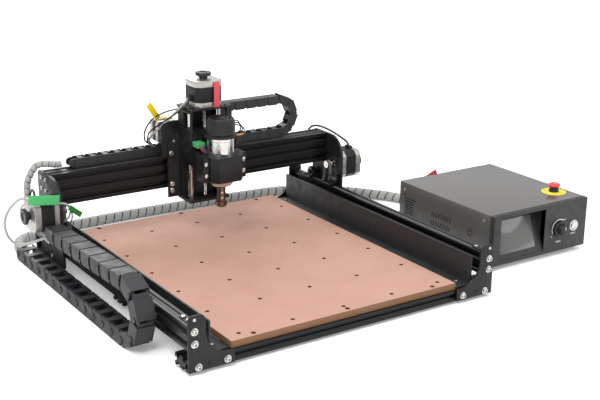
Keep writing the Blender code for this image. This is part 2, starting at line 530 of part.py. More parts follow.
add("estop_button",
    turned([(0.0, BOX_Z1 + 4.5), (5.0, BOX_Z1 + 4.5), (5.0, BOX_Z1 + 13.0), (11.0, BOX_Z1 + 13.2),
            (12.2, BOX_Z1 + 14.5), (11.6, BOX_Z1 + 17.0), (7.0, BOX_Z1 + 18.6),
            (0.0, BOX_Z1 + 19.0)], (STOP_X, STOP_Y, 0.0), "z", 28), ESTOP_RED)


# Cables ----------------------------------------------------------------------------------------
def smooth(points, per_span):
    """Catmull-Rom points through hand-picked places."""
    places = [Vector(p) for p in points]
    places = [2 * places[0] - places[1]] + places + [2 * places[-1] - places[-2]]
    found = []
    for i in range(1, len(places) - 2):
        a, b, c, d = places[i - 1:i + 3]
        for k in range(per_span):
            t = k / per_span
            found.append(0.5 * (2 * b + (c - a) * t + (2 * a - 5 * b + 4 * c - d) * t ** 2
                                + (3 * b - a - 3 * c + d) * t ** 3))
    found.append(places[-2])
    return found


def cord(name, points, radius, mat, per_span=3, bevel=2):
    curve = bpy.data.curves.new(name, "CURVE")
    curve.dimensions = "3D"
    curve.bevel_depth = radius * MM
    curve.bevel_resolution = bevel
    curve.use_fill_caps = True
    spline = curve.splines.new("POLY")
    path = smooth(points, per_span)
    spline.points.add(len(path) - 1)
    for point, place in zip(spline.points, path):
        point.co = (*(place * MM), 1.0)
    curve.materials.append(mat)
    obj = bpy.data.objects.new(name, curve)
    bpy.context.collection.objects.link(obj)


MAIN_HARNESS = [(520.0, 56.6, 5.0), (520.0, 74.0, 4.0), (518.0, 118.0, -10.0),
                (508.0, 186.0, -26.5), (476.0, 246.0, -27.1), (404.0, 330.0, -27.1),
                (312.0, 386.0, -27.1), (200.0, 402.0, -27.1), (60.0, 409.0, -27.1),
                (-90.0, 412.0, -27.1), (-220.0, 406.0, -27.1), (-300.0, 380.0, -27.0),
                (-323.0, 344.0, -26.6), (-325.0, 326.0, -26.0), (-325.0, 312.2, -26.0)]
cord("main_harness", MAIN_HARNESS, 10.8, WRAP)
GANTRY_HARNESS = [(-331.0, 156.4, 50.6), (-331.0, 168.0, 50.4), (-333.0, 190.0, 50.2),
                  (-336.0, 216.0, 52.0), (-339.0, 236.0, 74.0), (-336.0, 246.0, 105.0),
                  (-332.0, 251.0, 130.0), (-316.0, 250.0, 156.0), (-296.0, 243.0, 159.5),
                  (-283.0, 241.0, 157.2), (-270.8, 241.0, 157.0)]
cord("gantry_harness", GANTRY_HARNESS, 6.5, WRAP)
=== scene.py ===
"""Looks of a desktop CNC router: black extrusions, wooden bed, spindle carriage and a control box.

Lengths in this file are millimetres unless a property says otherwise; MM turns them into metres.
"""
import math
import random

import bmesh
import bpy
import numpy as np
from mathutils import Euler, Matrix, Vector


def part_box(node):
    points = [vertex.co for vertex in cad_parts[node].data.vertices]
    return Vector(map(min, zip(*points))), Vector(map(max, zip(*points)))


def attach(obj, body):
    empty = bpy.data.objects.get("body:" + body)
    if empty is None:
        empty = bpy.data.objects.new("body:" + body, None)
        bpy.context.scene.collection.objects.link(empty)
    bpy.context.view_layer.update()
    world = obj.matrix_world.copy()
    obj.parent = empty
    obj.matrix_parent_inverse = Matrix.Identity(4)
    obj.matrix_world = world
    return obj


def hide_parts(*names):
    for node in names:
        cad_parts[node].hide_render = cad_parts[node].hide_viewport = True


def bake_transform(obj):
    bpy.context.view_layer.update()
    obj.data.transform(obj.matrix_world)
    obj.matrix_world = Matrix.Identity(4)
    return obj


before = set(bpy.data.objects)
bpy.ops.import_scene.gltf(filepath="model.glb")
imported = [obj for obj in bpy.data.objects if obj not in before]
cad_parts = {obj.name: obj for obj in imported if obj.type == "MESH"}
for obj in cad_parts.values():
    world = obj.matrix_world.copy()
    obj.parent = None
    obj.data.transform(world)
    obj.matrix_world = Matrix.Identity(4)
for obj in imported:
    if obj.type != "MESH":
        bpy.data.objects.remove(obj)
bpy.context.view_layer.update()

bl_info = {
    "name": "CNC router",
    "version": (1, 0, 0),
    "blender": (4, 5, 0),
    "location": "3D View > Sidebar > Router",
    "description": "Builds the looks of a desktop CNC router around its packed CAD model",
    "category": "Object",
}

MM = 0.001
FLOOR_Z = -38.0
CAR_X = -9.0                  # parked place of the carriage
SCREW_Y, SPINDLE_Y = 171.0, 107.0
RAIL_X, RAIL_TOP, RAIL_HALF = 292.6, 44.4, 302.4
Y_MOTOR = (187.0, 86.0)       # axis of the Y motors
X_MOTOR = (-56.0, 192.0)      # axis of the X motor
WIDTH_BOX = (381.0, 626.0)    # sides of the control box
DEPTH_BOX = (-224.0, 56.0)
HEIGHT_BOX = (-28.0, 70.0)


# Materials -------------------------------------------------------------------------------------
def linear(text):
    """Linear RGBA from an sRGB hex colour."""
    values = [int(text[i:i + 2], 16) / 255 for i in (1, 3, 5)]
    return [v / 12.92 if v < 0.04045 else ((v + 0.055) / 1.055) ** 2.4 for v in values] + [1.0]


class Tree:
    """Adds and links nodes."""

    def __init__(self, tree):
        self.tree = tree

    def add(self, kind, inputs=None, **settings):
        node = self.tree.nodes.new(kind)
        for key, value in settings.items():
            setattr(node, key, value)
        for key, value in (inputs or {}).items():
            socket = node.inputs[key]
            if isinstance(value, bpy.types.NodeSocket):
                self.tree.links.new(value, socket)
            else:
                socket.default_value = value
        return node


def surface(name, colour, rough, metal=0.0, grain=1.0, stretch=(1, 1, 1), bump=0.05, spread=0.15,
            coat=0.0, rough_spread=0.12):
    """A solid finish: fine grain of the given size in mm varies colour, roughness and height."""
    mat = bpy.data.materials.new(name)
    mat.use_nodes = True
    tree = Tree(mat.node_tree)
    shader = mat.node_tree.nodes["Principled BSDF"]
    place = tree.add("ShaderNodeTexCoord").outputs["Object"]
    scale = [1000.0 / grain * s for s in stretch]
    place = tree.add("ShaderNodeMapping", {"Vector": place, "Scale": scale}).outputs[0]
    fine = tree.add("ShaderNodeTexNoise", {"Vector": place, "Scale": 1.0, "Detail": 3.0}).outputs[0]
    wide = tree.add("ShaderNodeTexNoise", {"Vector": place, "Scale": 0.04, "Detail": 2.0})
    both = tree.add("ShaderNodeMath", {0: fine, 1: wide.outputs[0]}, operation="MULTIPLY_ADD")
    both.inputs[2].default_value = 0.25
    base = linear(colour)
    dark = [c * (1 - spread) for c in base[:3]] + [1.0]
    light = [min(1.0, c * (1 + spread) + 0.004 * spread) for c in base[:3]] + [1.0]
    mixed = tree.add("ShaderNodeMix", {"Factor": both.outputs[0], 6: dark, 7: light},
                     data_type="RGBA")
    spread_map = tree.add("ShaderNodeMapRange", {"Value": wide.outputs[0], "From Min": 0.3,
                                                 "From Max": 0.7,
                                                 "To Min": max(0.02, rough - rough_spread),
                                                 "To Max": min(1.0, rough + rough_spread)})
    height = tree.add("ShaderNodeBump", {"Height": fine, "Strength": bump, "Distance": 0.0002})
    links = mat.node_tree.links
    links.new(mixed.outputs[2], shader.inputs["Base Color"])
    links.new(spread_map.outputs[0], shader.inputs["Roughness"])
    links.new(height.outputs[0], shader.inputs["Normal"])
    shader.inputs["Metallic"].default_value = metal
    shader.inputs["Coat Weight"].default_value = coat
    mat.diffuse_color = base
    return mat


def fibreboard(name, face, edge):
    """Pressed fibreboard: a pale sanded face with fibre flecks, darker raw sawn edges."""
    mat = surface(name, face, 0.8, grain=0.9, bump=0.25, spread=0.1)
    tree = Tree(mat.node_tree)
    shader = mat.node_tree.nodes["Principled BSDF"]
    old = shader.inputs["Base Color"].links[0].from_socket
    place = tree.add("ShaderNodeTexCoord").outputs["Object"]
    fleck = tree.add("ShaderNodeTexVoronoi", {"Vector": place, "Scale": 420.0})
    spot = tree.add("ShaderNodeMapRange", {"Value": fleck.outputs["Distance"], "From Min": 0.0,
                                           "From Max": 0.28, "To Min": 0.16, "To Max": 0.0})
    cloud = tree.add("ShaderNodeTexNoise", {"Vector": place, "Scale": 14.0, "Detail": 4.0})
    haze = tree.add("ShaderNodeMapRange", {"Value": cloud.outputs[0], "From Min": 0.35,
                                           "From Max": 0.65, "To Min": 0.0, "To Max": 0.12})
    total = tree.add("ShaderNodeMath", {0: spot.outputs[0], 1: haze.outputs[0]}, operation="ADD")
    worn = tree.add("ShaderNodeMix", {"Factor": total.outputs[0], 6: old, 7: linear(edge)},
                    data_type="RGBA")
    up = tree.add("ShaderNodeSeparateXYZ", {0: tree.add("ShaderNodeNewGeometry").outputs["Normal"]})
    side = tree.add("ShaderNodeMath", {0: up.outputs["Z"], 1: 0.6}, operation="LESS_THAN")
    last = tree.add("ShaderNodeMix", {"Factor": side.outputs[0], 6: worn.outputs[2],
                                      7: linear(edge)}, data_type="RGBA")
    mat.node_tree.links.new(last.outputs[2], shader.inputs["Base Color"])
    return mat


def striped(mat, axis, pitch, depth):
    """Fine parallel lines across an axis, such as laminations or turning marks."""
    tree = Tree(mat.node_tree)
    shader = mat.node_tree.nodes["Principled BSDF"]
    place = tree.add("ShaderNodeTexCoord").outputs["Object"]
    wave = tree.add("ShaderNodeTexWave", {"Vector": place, "Scale": 314.16 / pitch},
                    bands_direction=axis)
    height = tree.add("ShaderNodeBump", {"Height": wave.outputs[1], "Strength": depth,
                                         "Distance": 0.0002})
    mat.node_tree.links.new(height.outputs[0], shader.inputs["Normal"])
    return mat


MATS = {}


def make_materials(s):
    """One material per real finish."""
    MATS.update(
        # extruded and anodised aluminium: long drawing lines along X
        extrusion_x=surface("black_anodised_extrusion_x", s.black, 0.34, 0.55, 0.5,
                            (0.02, 1, 1), 0.1, 0.25),
        # the same finish with its lines along Y
        extrusion_y=surface("black_anodised_extrusion_y", s.black, 0.34, 0.55, 0.5,
                            (1, 0.02, 1), 0.1, 0.25),
        # cut plate, bead blasted and anodised
        plate=surface("black_anodised_plate", s.black, 0.42, 0.35, 0.35, bump=0.12, spread=0.2),
        # folded sheet steel with a black powder coat
        powder=surface("black_powder_coat", s.black, 0.5, 0.0, 0.8, bump=0.3, spread=0.2),
        board=fibreboard("pressed_fibreboard", s.bed, s.bed_edge),
        rubber=surface("black_rubber", "#161616", 0.8, 0.0, 0.6, bump=0.2),
        # glass-fibre backed belt rubber, grey with dust
        belt=surface("dusty_belt_rubber", "#6b6b69", 0.75, 0.0, 0.6, bump=0.15),
        nylon=surface("black_nylon", "#26272a", 0.5, 0.0, 0.7, bump=0.12, spread=0.25),
        acetal=surface("black_acetal", "#141414", 0.35, 0.0, 0.5, bump=0.05),
        core=striped(surface("lacquered_motor_core", "#171718", 0.5, 0.3, 0.5), "Z", 0.5, 0.25),
        cast=surface("cast_aluminium", "#bdb9b5", 0.38, 0.85, 0.4, bump=0.2, spread=0.1),
        steel=surface("ground_steel", "#c9c6c1", 0.2, 1.0, 0.3, (1, 1, 0.1), 0.04, 0.08),
        zinc=surface("zinc_plated_steel", "#d2d0cc", 0.26, 1.0, 0.4, bump=0.05, spread=0.08),
        dark_steel=surface("black_oxide_steel", "#2b2a29", 0.38, 0.9, 0.4, bump=0.06),
        turned=striped(surface("turned_aluminium", "#d4d2cf", 0.16, 1.0, 0.4, bump=0.02), "Z", 0.35, 0.04),
        collet=striped(surface("tempered_collet_steel", "#77685a", 0.28, 1.0, 0.4), "Z", 0.4, 0.1),
        brass=surface("zinc_brass_insert", "#6d5233", 0.4, 0.9, 0.3),
        plastic=surface("black_moulded_plastic", "#18181a", 0.4, 0.0, 0.5, bump=0.12),
        # the cover's black satin paint gets a grey base colour: painted sheen that stands in for the
        # reflection on its top
        paint=surface("black_satin_paint_and_painted_sheen", s.cover_paint_and_sheen, 0.34, 0.0, 0.9, bump=0.0, spread=0.02,
                      rough_spread=0.02, coat=0.8),
        moulding=surface("dark_grey_moulding", s.box_front, 0.5, 0.0, 0.45, bump=0.25),
        bay=surface("dark_display_bay", "#2b2b2a", 0.5, 0.0, 0.45, bump=0.1),
        screen=surface("grey_display_glass", "#636362", 0.12, 0.0, 3.0, bump=0.0, spread=0.02,
                       rough_spread=0.02, coat=0.6),
        red=surface("red_moulded_plastic", s.red, 0.32, 0.0, 0.5, bump=0.06, spread=0.05),
        yellow=surface("yellow_printed_plastic", s.yellow, 0.45, 0.0, 0.6, spread=0.06),
        white=surface("white_print", "#e9e9e7", 0.6, 0.0, 0.5),
        wrap=surface("grey_spiral_wrap", s.wrap, 0.55, 0.0, 0.8, bump=0.15, spread=0.1),
        tag_green=surface("green_cable_tag", "#43a862", 0.55, 0.0, 0.5, spread=0.08),
        tag_dark_green=surface("deep_green_cable_tag", "#14802a", 0.55, 0.0, 0.5, spread=0.08),
        tag_yellow=surface("yellow_cable_tag", "#efcf17", 0.5, 0.0, 0.5, spread=0.06),
        tag_red=surface("red_cable_tag", "#cf444c", 0.5, 0.0, 0.5, spread=0.06),
        tag_orange=surface("orange_sleeve", "#d98a55", 0.5, 0.0, 0.5),
        wire=surface("black_wire_jacket", "#151515", 0.5, 0.0, 0.5),
        wire_red=surface("red_wire_jacket", "#a8242a", 0.45, 0.0, 0.5),
        wire_blue=surface("blue_wire_jacket", "#3b5c9a", 0.45, 0.0, 0.5),
        wire_grey=surface("grey_wire_jacket", "#a9a9a7", 0.5, 0.0, 0.5),
    )


# Shapes ----------------------------------------------------------------------------------------
class Shape:
    """Collects vertices in mm and faces, then makes one piece."""

    def __init__(self):
        self.points, self.faces = [], []

    def mesh(self, points, faces):
        start = len(self.points)
        self.points += [tuple(p) for p in points]
        self.faces += [[start + i for i in face] for face in faces]
        return self

    def prism(self, outline, low, high, axis="z"):
        order = {"z": (0, 1, 2), "y": (0, 2, 1), "x": (2, 0, 1)}[axis]
        n = len(outline)
        points = [tuple((a, b, h)[i] for i in order) for h in (low, high) for a, b in outline]
        faces = [list(range(n)), list(range(n, 2 * n))]
        faces += [[i, (i + 1) % n, n + (i + 1) % n, n + i] for i in range(n)]
        return self.mesh(points, faces)

    def box(self, x0, x1, y0, y1, z0, z1):
        return self.prism([(x0, y0), (x1, y0), (x1, y1), (x0, y1)], z0, z1)

    def turned(self, profile, centre=(0, 0, 0), axis="z", sides=48, closed=False, phase=0.0):
        """Revolves (radius, height) pairs; a closed profile makes a ring."""
        points, faces, n = [], [], len(profile)
        for radius, height in profile:
            for k in range(sides):
                t = 2 * math.pi * (k + phase) / sides
                p = (radius * math.cos(t), radius * math.sin(t), height)
                p = {"z": p, "x": (p[2], p[0], p[1]), "y": (p[1], p[2], p[0])}[axis]
                points.append(tuple(a + b for a, b in zip(p, centre)))
        for i in range(n if closed else n - 1):
            a, b = i * sides, (i + 1) % n * sides
            faces += [[a + k, a + (k + 1) % sides, b + (k + 1) % sides, b + k]
                      for k in range(sides)]
        if not closed:
            faces += [list(range(sides)), list(range((n - 1) * sides, n * sides))]
        return self.mesh(points, faces)

    def tube(self, path, radius, sides=12):
        """A round cord along a path; radius may be a function of length and angle."""
        places = [Vector(p) for p in path]
        points, faces = [], []
        run, side = 0.0, None
        for i, place in enumerate(places):
            ahead = (places[min(i + 1, len(places) - 1)] - places[max(i - 1, 0)]).normalized()
            if side is None:
                side = ahead.cross(Vector((0.1, 0.2, 1.0))).normalized()
            side = (side - ahead * side.dot(ahead)).normalized()
            up = ahead.cross(side)
            run += (place - places[i - 1]).length if i else 0.0
            for k in range(sides):
                t = 2 * math.pi * k / sides
                r = radius(run, t) if callable(radius) else radius
                points.append(place + (side * math.cos(t) + up * math.sin(t)) * r)
        for i in range(len(places) - 1):
            a, b = i * sides, (i + 1) * sides
            faces += [[a + k, a + (k + 1) % sides, b + (k + 1) % sides, b + k]
                      for k in range(sides)]
        faces += [list(range(sides)), list(range(len(points) - sides, len(points)))]
        return self.mesh(points, faces)

    def moved(self, matrix, start=0):
        self.points[start:] = [tuple(matrix @ Vector(p)) for p in self.points[start:]]
        return self

    def data(self, name, mat, bevel=0.0, angle=35):
        bm = bmesh.new()
        verts = [bm.verts.new([c * MM for c in p]) for p in self.points]
        for face in self.faces:
            unique = list(dict.fromkeys(face))
            if len(unique) > 2:
                bm.faces.new([verts[i] for i in unique])
        bmesh.ops.remove_doubles(bm, verts=bm.verts, dist=1e-6)
        bmesh.ops.recalc_face_normals(bm, faces=bm.faces)
        return finished(bm, name, mat, bevel, angle)

    def piece(self, name, mat, body, replaces=(), slot=None, bevel=0.0, angle=35):
        obj = bpy.data.objects.new(name, self.data(name, mat, bevel, angle))
        return settle(obj, body, replaces)


def finished(bm, name, mat, bevel, angle):
    """Bevels the sharp edges, shades smooth by angle and returns the mesh."""
    if bevel:
        edges = [e for e in bm.edges if len(e.link_faces) == 2
                 and e.calc_face_angle(0.0) > math.radians(30)]
        bmesh.ops.bevel(bm, geom=edges, offset=bevel * MM, segments=2, profile=0.6,
                        affect="EDGES", clamp_overlap=True)
    mesh = bpy.data.meshes.new(name)
    bm.to_mesh(mesh)
    bm.free()
    mesh.polygons.foreach_set("use_smooth", [True] * len(mesh.polygons))
    mesh.set_sharp_from_angle(angle=math.radians(angle))
    mesh.materials.append(MATS[mat])
    return mesh


def settle(obj, body, replaces=()):
    """Links a finished object, puts it on its body, if it rides on one, and names its slot."""
    bpy.context.scene.collection.objects.link(obj)
    if body:
        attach(obj, body)
    if replaces:
        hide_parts(*replaces)
    return obj


def soften(node, mat, body, bevel=0.5):
    """Stands in for a CAD node with the same shape and small edge radii."""
    bm = bmesh.new()
    bm.from_mesh(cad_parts[node].data)
    bmesh.ops.remove_doubles(bm, verts=bm.verts, dist=1e-6)
    bmesh.ops.dissolve_limit(bm, angle_limit=math.radians(1), verts=bm.verts, edges=bm.edges)
    mesh = finished(bm, node + "_shell", mat, bevel, 35)
    return settle(bpy.data.objects.new(node + "_shell", mesh), body, (node,))


def paint(node, mat):
    """Gives a CAD node one of the finishes."""
    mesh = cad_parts[node].data
    mesh.materials.clear()
    mesh.materials.append(MATS[mat])


def scatter(name, template, spots, mat, body):
    """Copies a template shape to spots of (place, Euler turn, size) with a node tree, then bakes."""
    source = bpy.data.objects.new(name + "_one", template.data(name + "_one", mat))
    points = bpy.data.meshes.new(name + "_spots")
    points.from_pydata([[c * MM for c in spot[0]] for spot in spots], [], [])
    turn = points.attributes.new("turn", "FLOAT_VECTOR", "POINT")
    turn.data.foreach_set("vector", [v for spot in spots for v in spot[1]])
    size = points.attributes.new("size", "FLOAT", "POINT")
    size.data.foreach_set("value", [spot[2] if len(spot) > 2 else 1.0 for spot in spots])
    group = bpy.data.node_groups.new(name, "GeometryNodeTree")
    group.interface.new_socket("Geometry", in_out="INPUT", socket_type="NodeSocketGeometry")
    group.interface.new_socket("Geometry", in_out="OUTPUT", socket_type="NodeSocketGeometry")
    tree = Tree(group)
    start = tree.add("NodeGroupInput")
    info = tree.add("GeometryNodeObjectInfo", {"Object": source})
    turned = tree.add("GeometryNodeInputNamedAttribute", {"Name": "turn"},
                      data_type="FLOAT_VECTOR")
    sized = tree.add("GeometryNodeInputNamedAttribute", {"Name": "size"}, data_type="FLOAT")
    euler = tree.add("FunctionNodeEulerToRotation", {0: turned.outputs[0]})
    copies = tree.add("GeometryNodeInstanceOnPoints",
                      {"Points": start.outputs[0], "Instance": info.outputs["Geometry"],
                       "Rotation": euler.outputs[0], "Scale": sized.outputs[0]})
    real = tree.add("GeometryNodeRealizeInstances", {0: copies.outputs[0]})
    dressed = tree.add("GeometryNodeSetMaterial", {0: real.outputs[0], "Material": MATS[mat]})
    tree.add("NodeGroupOutput", {0: dressed.outputs[0]})
    carrier = bpy.data.objects.new(name + "_carrier", points)
    bpy.context.scene.collection.objects.link(carrier)
    modifier = carrier.modifiers.new("copies", "NODES")
    modifier.node_group = group
    graph = bpy.context.evaluated_depsgraph_get()
    mesh = bpy.data.meshes.new_from_object(carrier.evaluated_get(graph))
    bpy.data.objects.remove(carrier)
    bpy.data.objects.remove(source)
    bpy.data.node_groups.remove(group)
    return settle(bpy.data.objects.new(name, mesh), body, ())


def cut_by(obj, cutters):
    """Takes the cutters' shape out of a piece and applies it."""
    tool = bpy.data.objects.new("cutters", cutters.data("cutters", "plastic"))
    bpy.context.scene.collection.objects.link(tool)
    modifier = obj.modifiers.new("cut", "BOOLEAN")
    modifier.object = tool
    modifier.operation = "DIFFERENCE"
    modifier.solver = "EXACT"
    graph = bpy.context.evaluated_depsgraph_get()
    mesh = bpy.data.meshes.new_from_object(obj.evaluated_get(graph))
    obj.modifiers.clear()
    obj.data = mesh
    mesh.polygons.foreach_set("use_smooth", [True] * len(mesh.polygons))
    mesh.set_sharp_from_angle(angle=math.radians(35))
    bpy.data.objects.remove(tool)


def facing(direction):
    """Euler turn that takes +Z to a direction."""
    return tuple(Vector((0, 0, 1)).rotation_difference(Vector(direction)).to_euler())


def arc(a, b, radius, start, end, steps):
    turns = [math.radians(start + (end - start) * k / steps) for k in range(steps + 1)]
    return [(a + radius * math.cos(t), b + radius * math.sin(t)) for t in turns]


def smooth(points, per_span=8):
    """Catmull-Rom points through hand-picked places."""
    places = [Vector(p) for p in points]
    places = [2 * places[0] - places[1]] + places + [2 * places[-1] - places[-2]]
    found = []
    for i in range(1, len(places) - 2):
        a, b, c, d = places[i - 1:i + 3]
        for k in range(per_span):
            t = k / per_span
            found.append(0.5 * (2 * b + (c - a) * t + (2 * a - 5 * b + 4 * c - d) * t ** 2
                                + (3 * b - a - 3 * c + d) * t ** 3))
    found.append(places[-2])
    return found


def screw_head(r=4.25, h=4.0, hexagon=2.5, washer=0.0):
    """Socket head with its key recess, standing on z = 0."""
    shape = Shape()
    low = 0.0
    if washer:
        shape.turned([(washer, 0.0), (washer, 0.9), (r * 0.6, 0.9)], sides=28)
        low = 0.9
    sides = 24
    ring = [(r, low), (r, low + h * 0.82), (r * 0.88, low + h)]
    points = [(q * math.cos(2 * math.pi * k / sides), q * math.sin(2 * math.pi * k / sides), z)
              for q, z in ring for k in range(sides)]
    for z in (low + h, low + h * 0.35):
        for k in range(sides):
            t = 2 * math.pi * k / sides
            q = hexagon * math.cos(math.pi / 6) / math.cos((t % (math.pi / 3)) - math.pi / 6)
            points.append((q * math.cos(t), q * math.sin(t), z))
    faces = [[a * sides + k, a * sides + (k + 1) % sides, (a + 1) * sides + (k + 1) % sides,
              (a + 1) * sides + k] for a in range(4) for k in range(sides)]
    faces.append(list(range(4 * sides, 5 * sides)))
    faces.append(list(range(sides)))
    return shape.mesh(points, faces)


# Settings --------------------------------------------------------------------------------------
class RouterLooks(bpy.types.PropertyGroup):
    """Colours of the finishes."""

    black: bpy.props.StringProperty(
        name="Black metal", description="sRGB hex of the anodised metal", default="#1d1d1f")
    bed: bpy.props.StringProperty(
        name="Bed face", description="sRGB hex of the sanded board", default="#b68e7d")
    bed_edge: bpy.props.StringProperty(
        name="Bed edge", description="sRGB hex of the sawn edge", default="#7d5a3e")
    # grey of the cover: its black paint lightened with painted sheen
    cover_paint_and_sheen: bpy.props.StringProperty(
        name="Control box", description="sRGB hex of the cover's paint", default="#565452")
    box_front: bpy.props.StringProperty(
        name="Control panel", description="sRGB hex of the front moulding", default="#2a2a29")
    red: bpy.props.StringProperty(
        name="Stop button", description="sRGB hex of the mushroom head", default="#e23b3b")
    yellow: bpy.props.StringProperty(
        name="Stop plate", description="sRGB hex of the round plate", default="#e9df45")
    wrap: bpy.props.StringProperty(
        name="Harness wrap", description="sRGB hex of the spiral wrap", default="#9b9b99")


class RouterSizes(bpy.types.PropertyGroup):
    """Sizes that can be changed without touching the CAD model, in metres."""

    y_link: bpy.props.FloatProperty(
        name="Y chain pitch", description="Length of one link of the long chain",
        default=0.035, min=0.02, max=0.06, unit="LENGTH", subtype="DISTANCE")
    x_link: bpy.props.FloatProperty(
        name="X chain pitch", description="Length of one link of the beam's chain",
        default=0.025, min=0.015, max=0.05, unit="LENGTH", subtype="DISTANCE")
    wrap_turn: bpy.props.FloatProperty(
        name="Wrap turn", description="Width of one turn of the spiral wrap",
        default=0.0185, min=0.008, max=0.04, unit="LENGTH", subtype="DISTANCE")
    belt_pitch: bpy.props.FloatProperty(
        name="Belt pitch", description="Distance between belt teeth",
        default=0.002, min=0.002, max=0.01, unit="LENGTH", subtype="DISTANCE")
    edge: bpy.props.FloatProperty(
        name="Edge radius", description="Rounding of machined plate edges",
        default=0.0006, min=0.0001, max=0.002, unit="LENGTH", subtype="DISTANCE")
    vents: bpy.props.IntProperty(
        name="Vent slots", description="Slots in each row of the control box's sides",
        default=9, min=1, max=16)


# Pieces ----------------------------------------------------------------------------------------
SIDES = ((-1, "left"), (1, "right"))
ENDS = ((-1, "front"), (1, "rear"))


def build_frame(s):
    """Rails, crossbeams, corner plates, guards and feet."""
    edge = s.edge / MM
    for node in ("y_rail_left", "y_rail_right"):
        paint(node, "extrusion_y")
    for node in ("crossbeam_front", "crossbeam_middle", "crossbeam_rear"):
        paint(node, "extrusion_x")
    heads, small, washers = [], [], []
    for side, word in SIDES:
        soften("guard_" + word, "powder", "machine", 0.4)
        for end, end_word in ENDS:
            name = "%s_%s" % (end_word, word)
            soften("end_plate_" + name, "plate", "machine", edge)
            paint("foot_" + name, "rubber")
            turn = facing((0, end, 0))
            y = end * 306.75
            for x, z in ((292.6, 34.4), (292.6, 14.4), (286.5, -24.5), (236.0, -23.0)):
                heads.append(((side * x, y, z), turn))
            small.append(((side * 292.6, y, 53.6), turn, 0.62))
            small.append(((side * 247.0, end * 276.0, -9.45), (0, 0, 0), 0.75))
            washers.append(((side * 267.0, y, -22.3), turn))
    for y in (-150.0, 0.0, 150.0):
        for side, _ in SIDES:
            small.append(((side * 262.0 + side * 1.2, y, 22.0), facing((side, 0, 0)), 0.5))
    scatter("corner_bolts", screw_head(4.2, 4.0, 2.4, 6.2), heads, "zinc", "machine")
    scatter("frame_screws", screw_head(4.2, 2.4, 2.4), small, "zinc", "machine")
    dowel = Shape().turned([(3.2, -1.0), (3.2, 0.3), (2.4, 0.6), (0.1, 0.6)], sides=24)
    scatter("corner_dowels", dowel, washers, "dark_steel", "machine")


def build_bed(s):
    """The wooden bed with its inserts and counterbored screws."""
    board = Shape().box(-225, 225, -299, 299, -12, 0).piece(
        "bed_board", "board", "machine", ("spoilboard",), "mdf", bevel=0.5)
    grid = [((col - 2) * 100.0, -279.0 + row * 100.0) for row in range(6) for col in range(5)]
    fixings = [(x, y) for x in (-180.0, 0.0, 180.0) for y in (-290.0, 290.0)]
    tools = Shape()
    for x, y in grid:
        tools.turned([(3.9, -6.8), (3.9, 1.0)], (x, y, 0), sides=24)
    for x, y in fixings:
        tools.turned([(4.6, -5.0), (4.6, 1.0)], (x, y, 0), sides=24)
    cut_by(board, tools)
    insert = Shape().turned([(2.4, -6.2), (3.75, -6.2), (3.75, -0.9), (3.3, -0.5), (2.4, -0.5)],
                            sides=24, closed=True)
    scatter("bed_inserts", insert, [((x, y, 0), (0, 0, 0)) for x, y in grid], "brass", "machine")
    scatter("bed_screws", screw_head(3.9, 3.0, 2.0),
            [((x, y, -4.9), (0, 0, 0.3 * i)) for i, (x, y) in enumerate(fixings)],
            "dark_steel", "machine")


def build_belts(s):
    """Toothed belts of both axes, with the clamps that hold the ends of the Y belts."""
    pitch = s.belt_pitch / MM
    tooth = Shape().box(-2.75, 2.75, -0.45 * pitch / 2, 0.45 * pitch / 2, 0, 0.55)
    clamps = []
    for side, word in SIDES:
        x = side * RAIL_X
        low = RAIL_TOP - 2.6
        strip = Shape().box(x - 2.8, x + 2.8, -302, 302, low, low + 0.85)
        strip.piece("belt_strip_" + word, "belt", "machine", ("y_belt_" + word,), "belt")
        count = int(600 / pitch)
        spots = [((x, -300 + k * pitch, low + 0.82), (0, 0, 0)) for k in range(count)]
        scatter("belt_teeth_" + word, tooth, spots, "belt", "machine")
        for end in (-1, 1):
            for y in (289.0, 272.0):
                clamps.append(((x, end * y, RAIL_TOP + 1.1), (0, 0, 0.4)))
            Shape().box(x - 4.3, x + 4.3, end * 280.5 - 15, end * 280.5 + 15, RAIL_TOP - 1.1,
                        RAIL_TOP + 1.1).piece(
                "belt_clamp_%s_%d" % (word, end + 1), "dark_steel", "machine", (), "steel", 0.4)
        # the span that lifts off the rail and runs over the motor's pulley
        y, z = Y_MOTOR
        path = [(RAIL_TOP - 1.2, y + 24.0)] + [(RAIL_TOP + 3.0, y + 15.0), (z - 2.0, y + 7.6)]
        path += [(z + 7.6 * math.sin(t), y + 7.6 * math.cos(t))
                 for t in (math.pi * k / 12 for k in range(1, 12))]
        path += [(z - 2.0, y - 7.6), (RAIL_TOP + 3.0, y - 7.4), (RAIL_TOP - 1.2, y - 5.0)]
        inner = [(b, a) for a, b in path]
        outer = [(b + (b - y) * 0.12, a + (1.0 if a > z else 0.0)) for a, b in path]
        Shape().prism(inner + outer[::-1], x - 2.8, x + 2.8, "x").piece(
            "belt_span_" + word, "belt", "gantry", (), "belt")
    scatter("belt_clamp_screws", screw_head(3.4, 3.0, 1.9), clamps, "zinc", "machine")
    Shape().box(-300, 300, 218.2, 223.8, 144.2, 145.1).piece(
        "x_belt_strip", "belt", "gantry", (), "belt")
    turned = Shape().box(-0.45, 0.45, -2.75, 2.75, 0, 0.5)
    scatter("x_belt_teeth", turned, [((-299 + k * pitch, 221, 145.05), (0, 0, 0))
                                     for k in range(int(598 / pitch))], "belt", "gantry")


def wheel(node, body, centre, axis):
    """A V wheel with its bearing, retaining nut and washer faces."""
    tyre = Shape().turned([(4.2, -4.9), (9.6, -5.1), (WHEEL_R, -2.7), (WHEEL_R, 2.7), (9.6, 5.1),
                           (4.2, 4.9)], centre, axis, 64, closed=True)
    tyre.piece(node + "_tyre", "acetal", body, (node,), "delrin")
    race = Shape().turned([(3.0, -4.2), (7.6, -4.2), (7.6, -5.25), (8.0, -5.25), (8.0, 5.25),
                           (7.6, 5.25), (7.6, 4.2), (3.0, 4.2)], centre, axis, 48, closed=True)
    race.piece(node + "_bearing", "steel", body, (), "steel")


WHEEL_R = 11.95


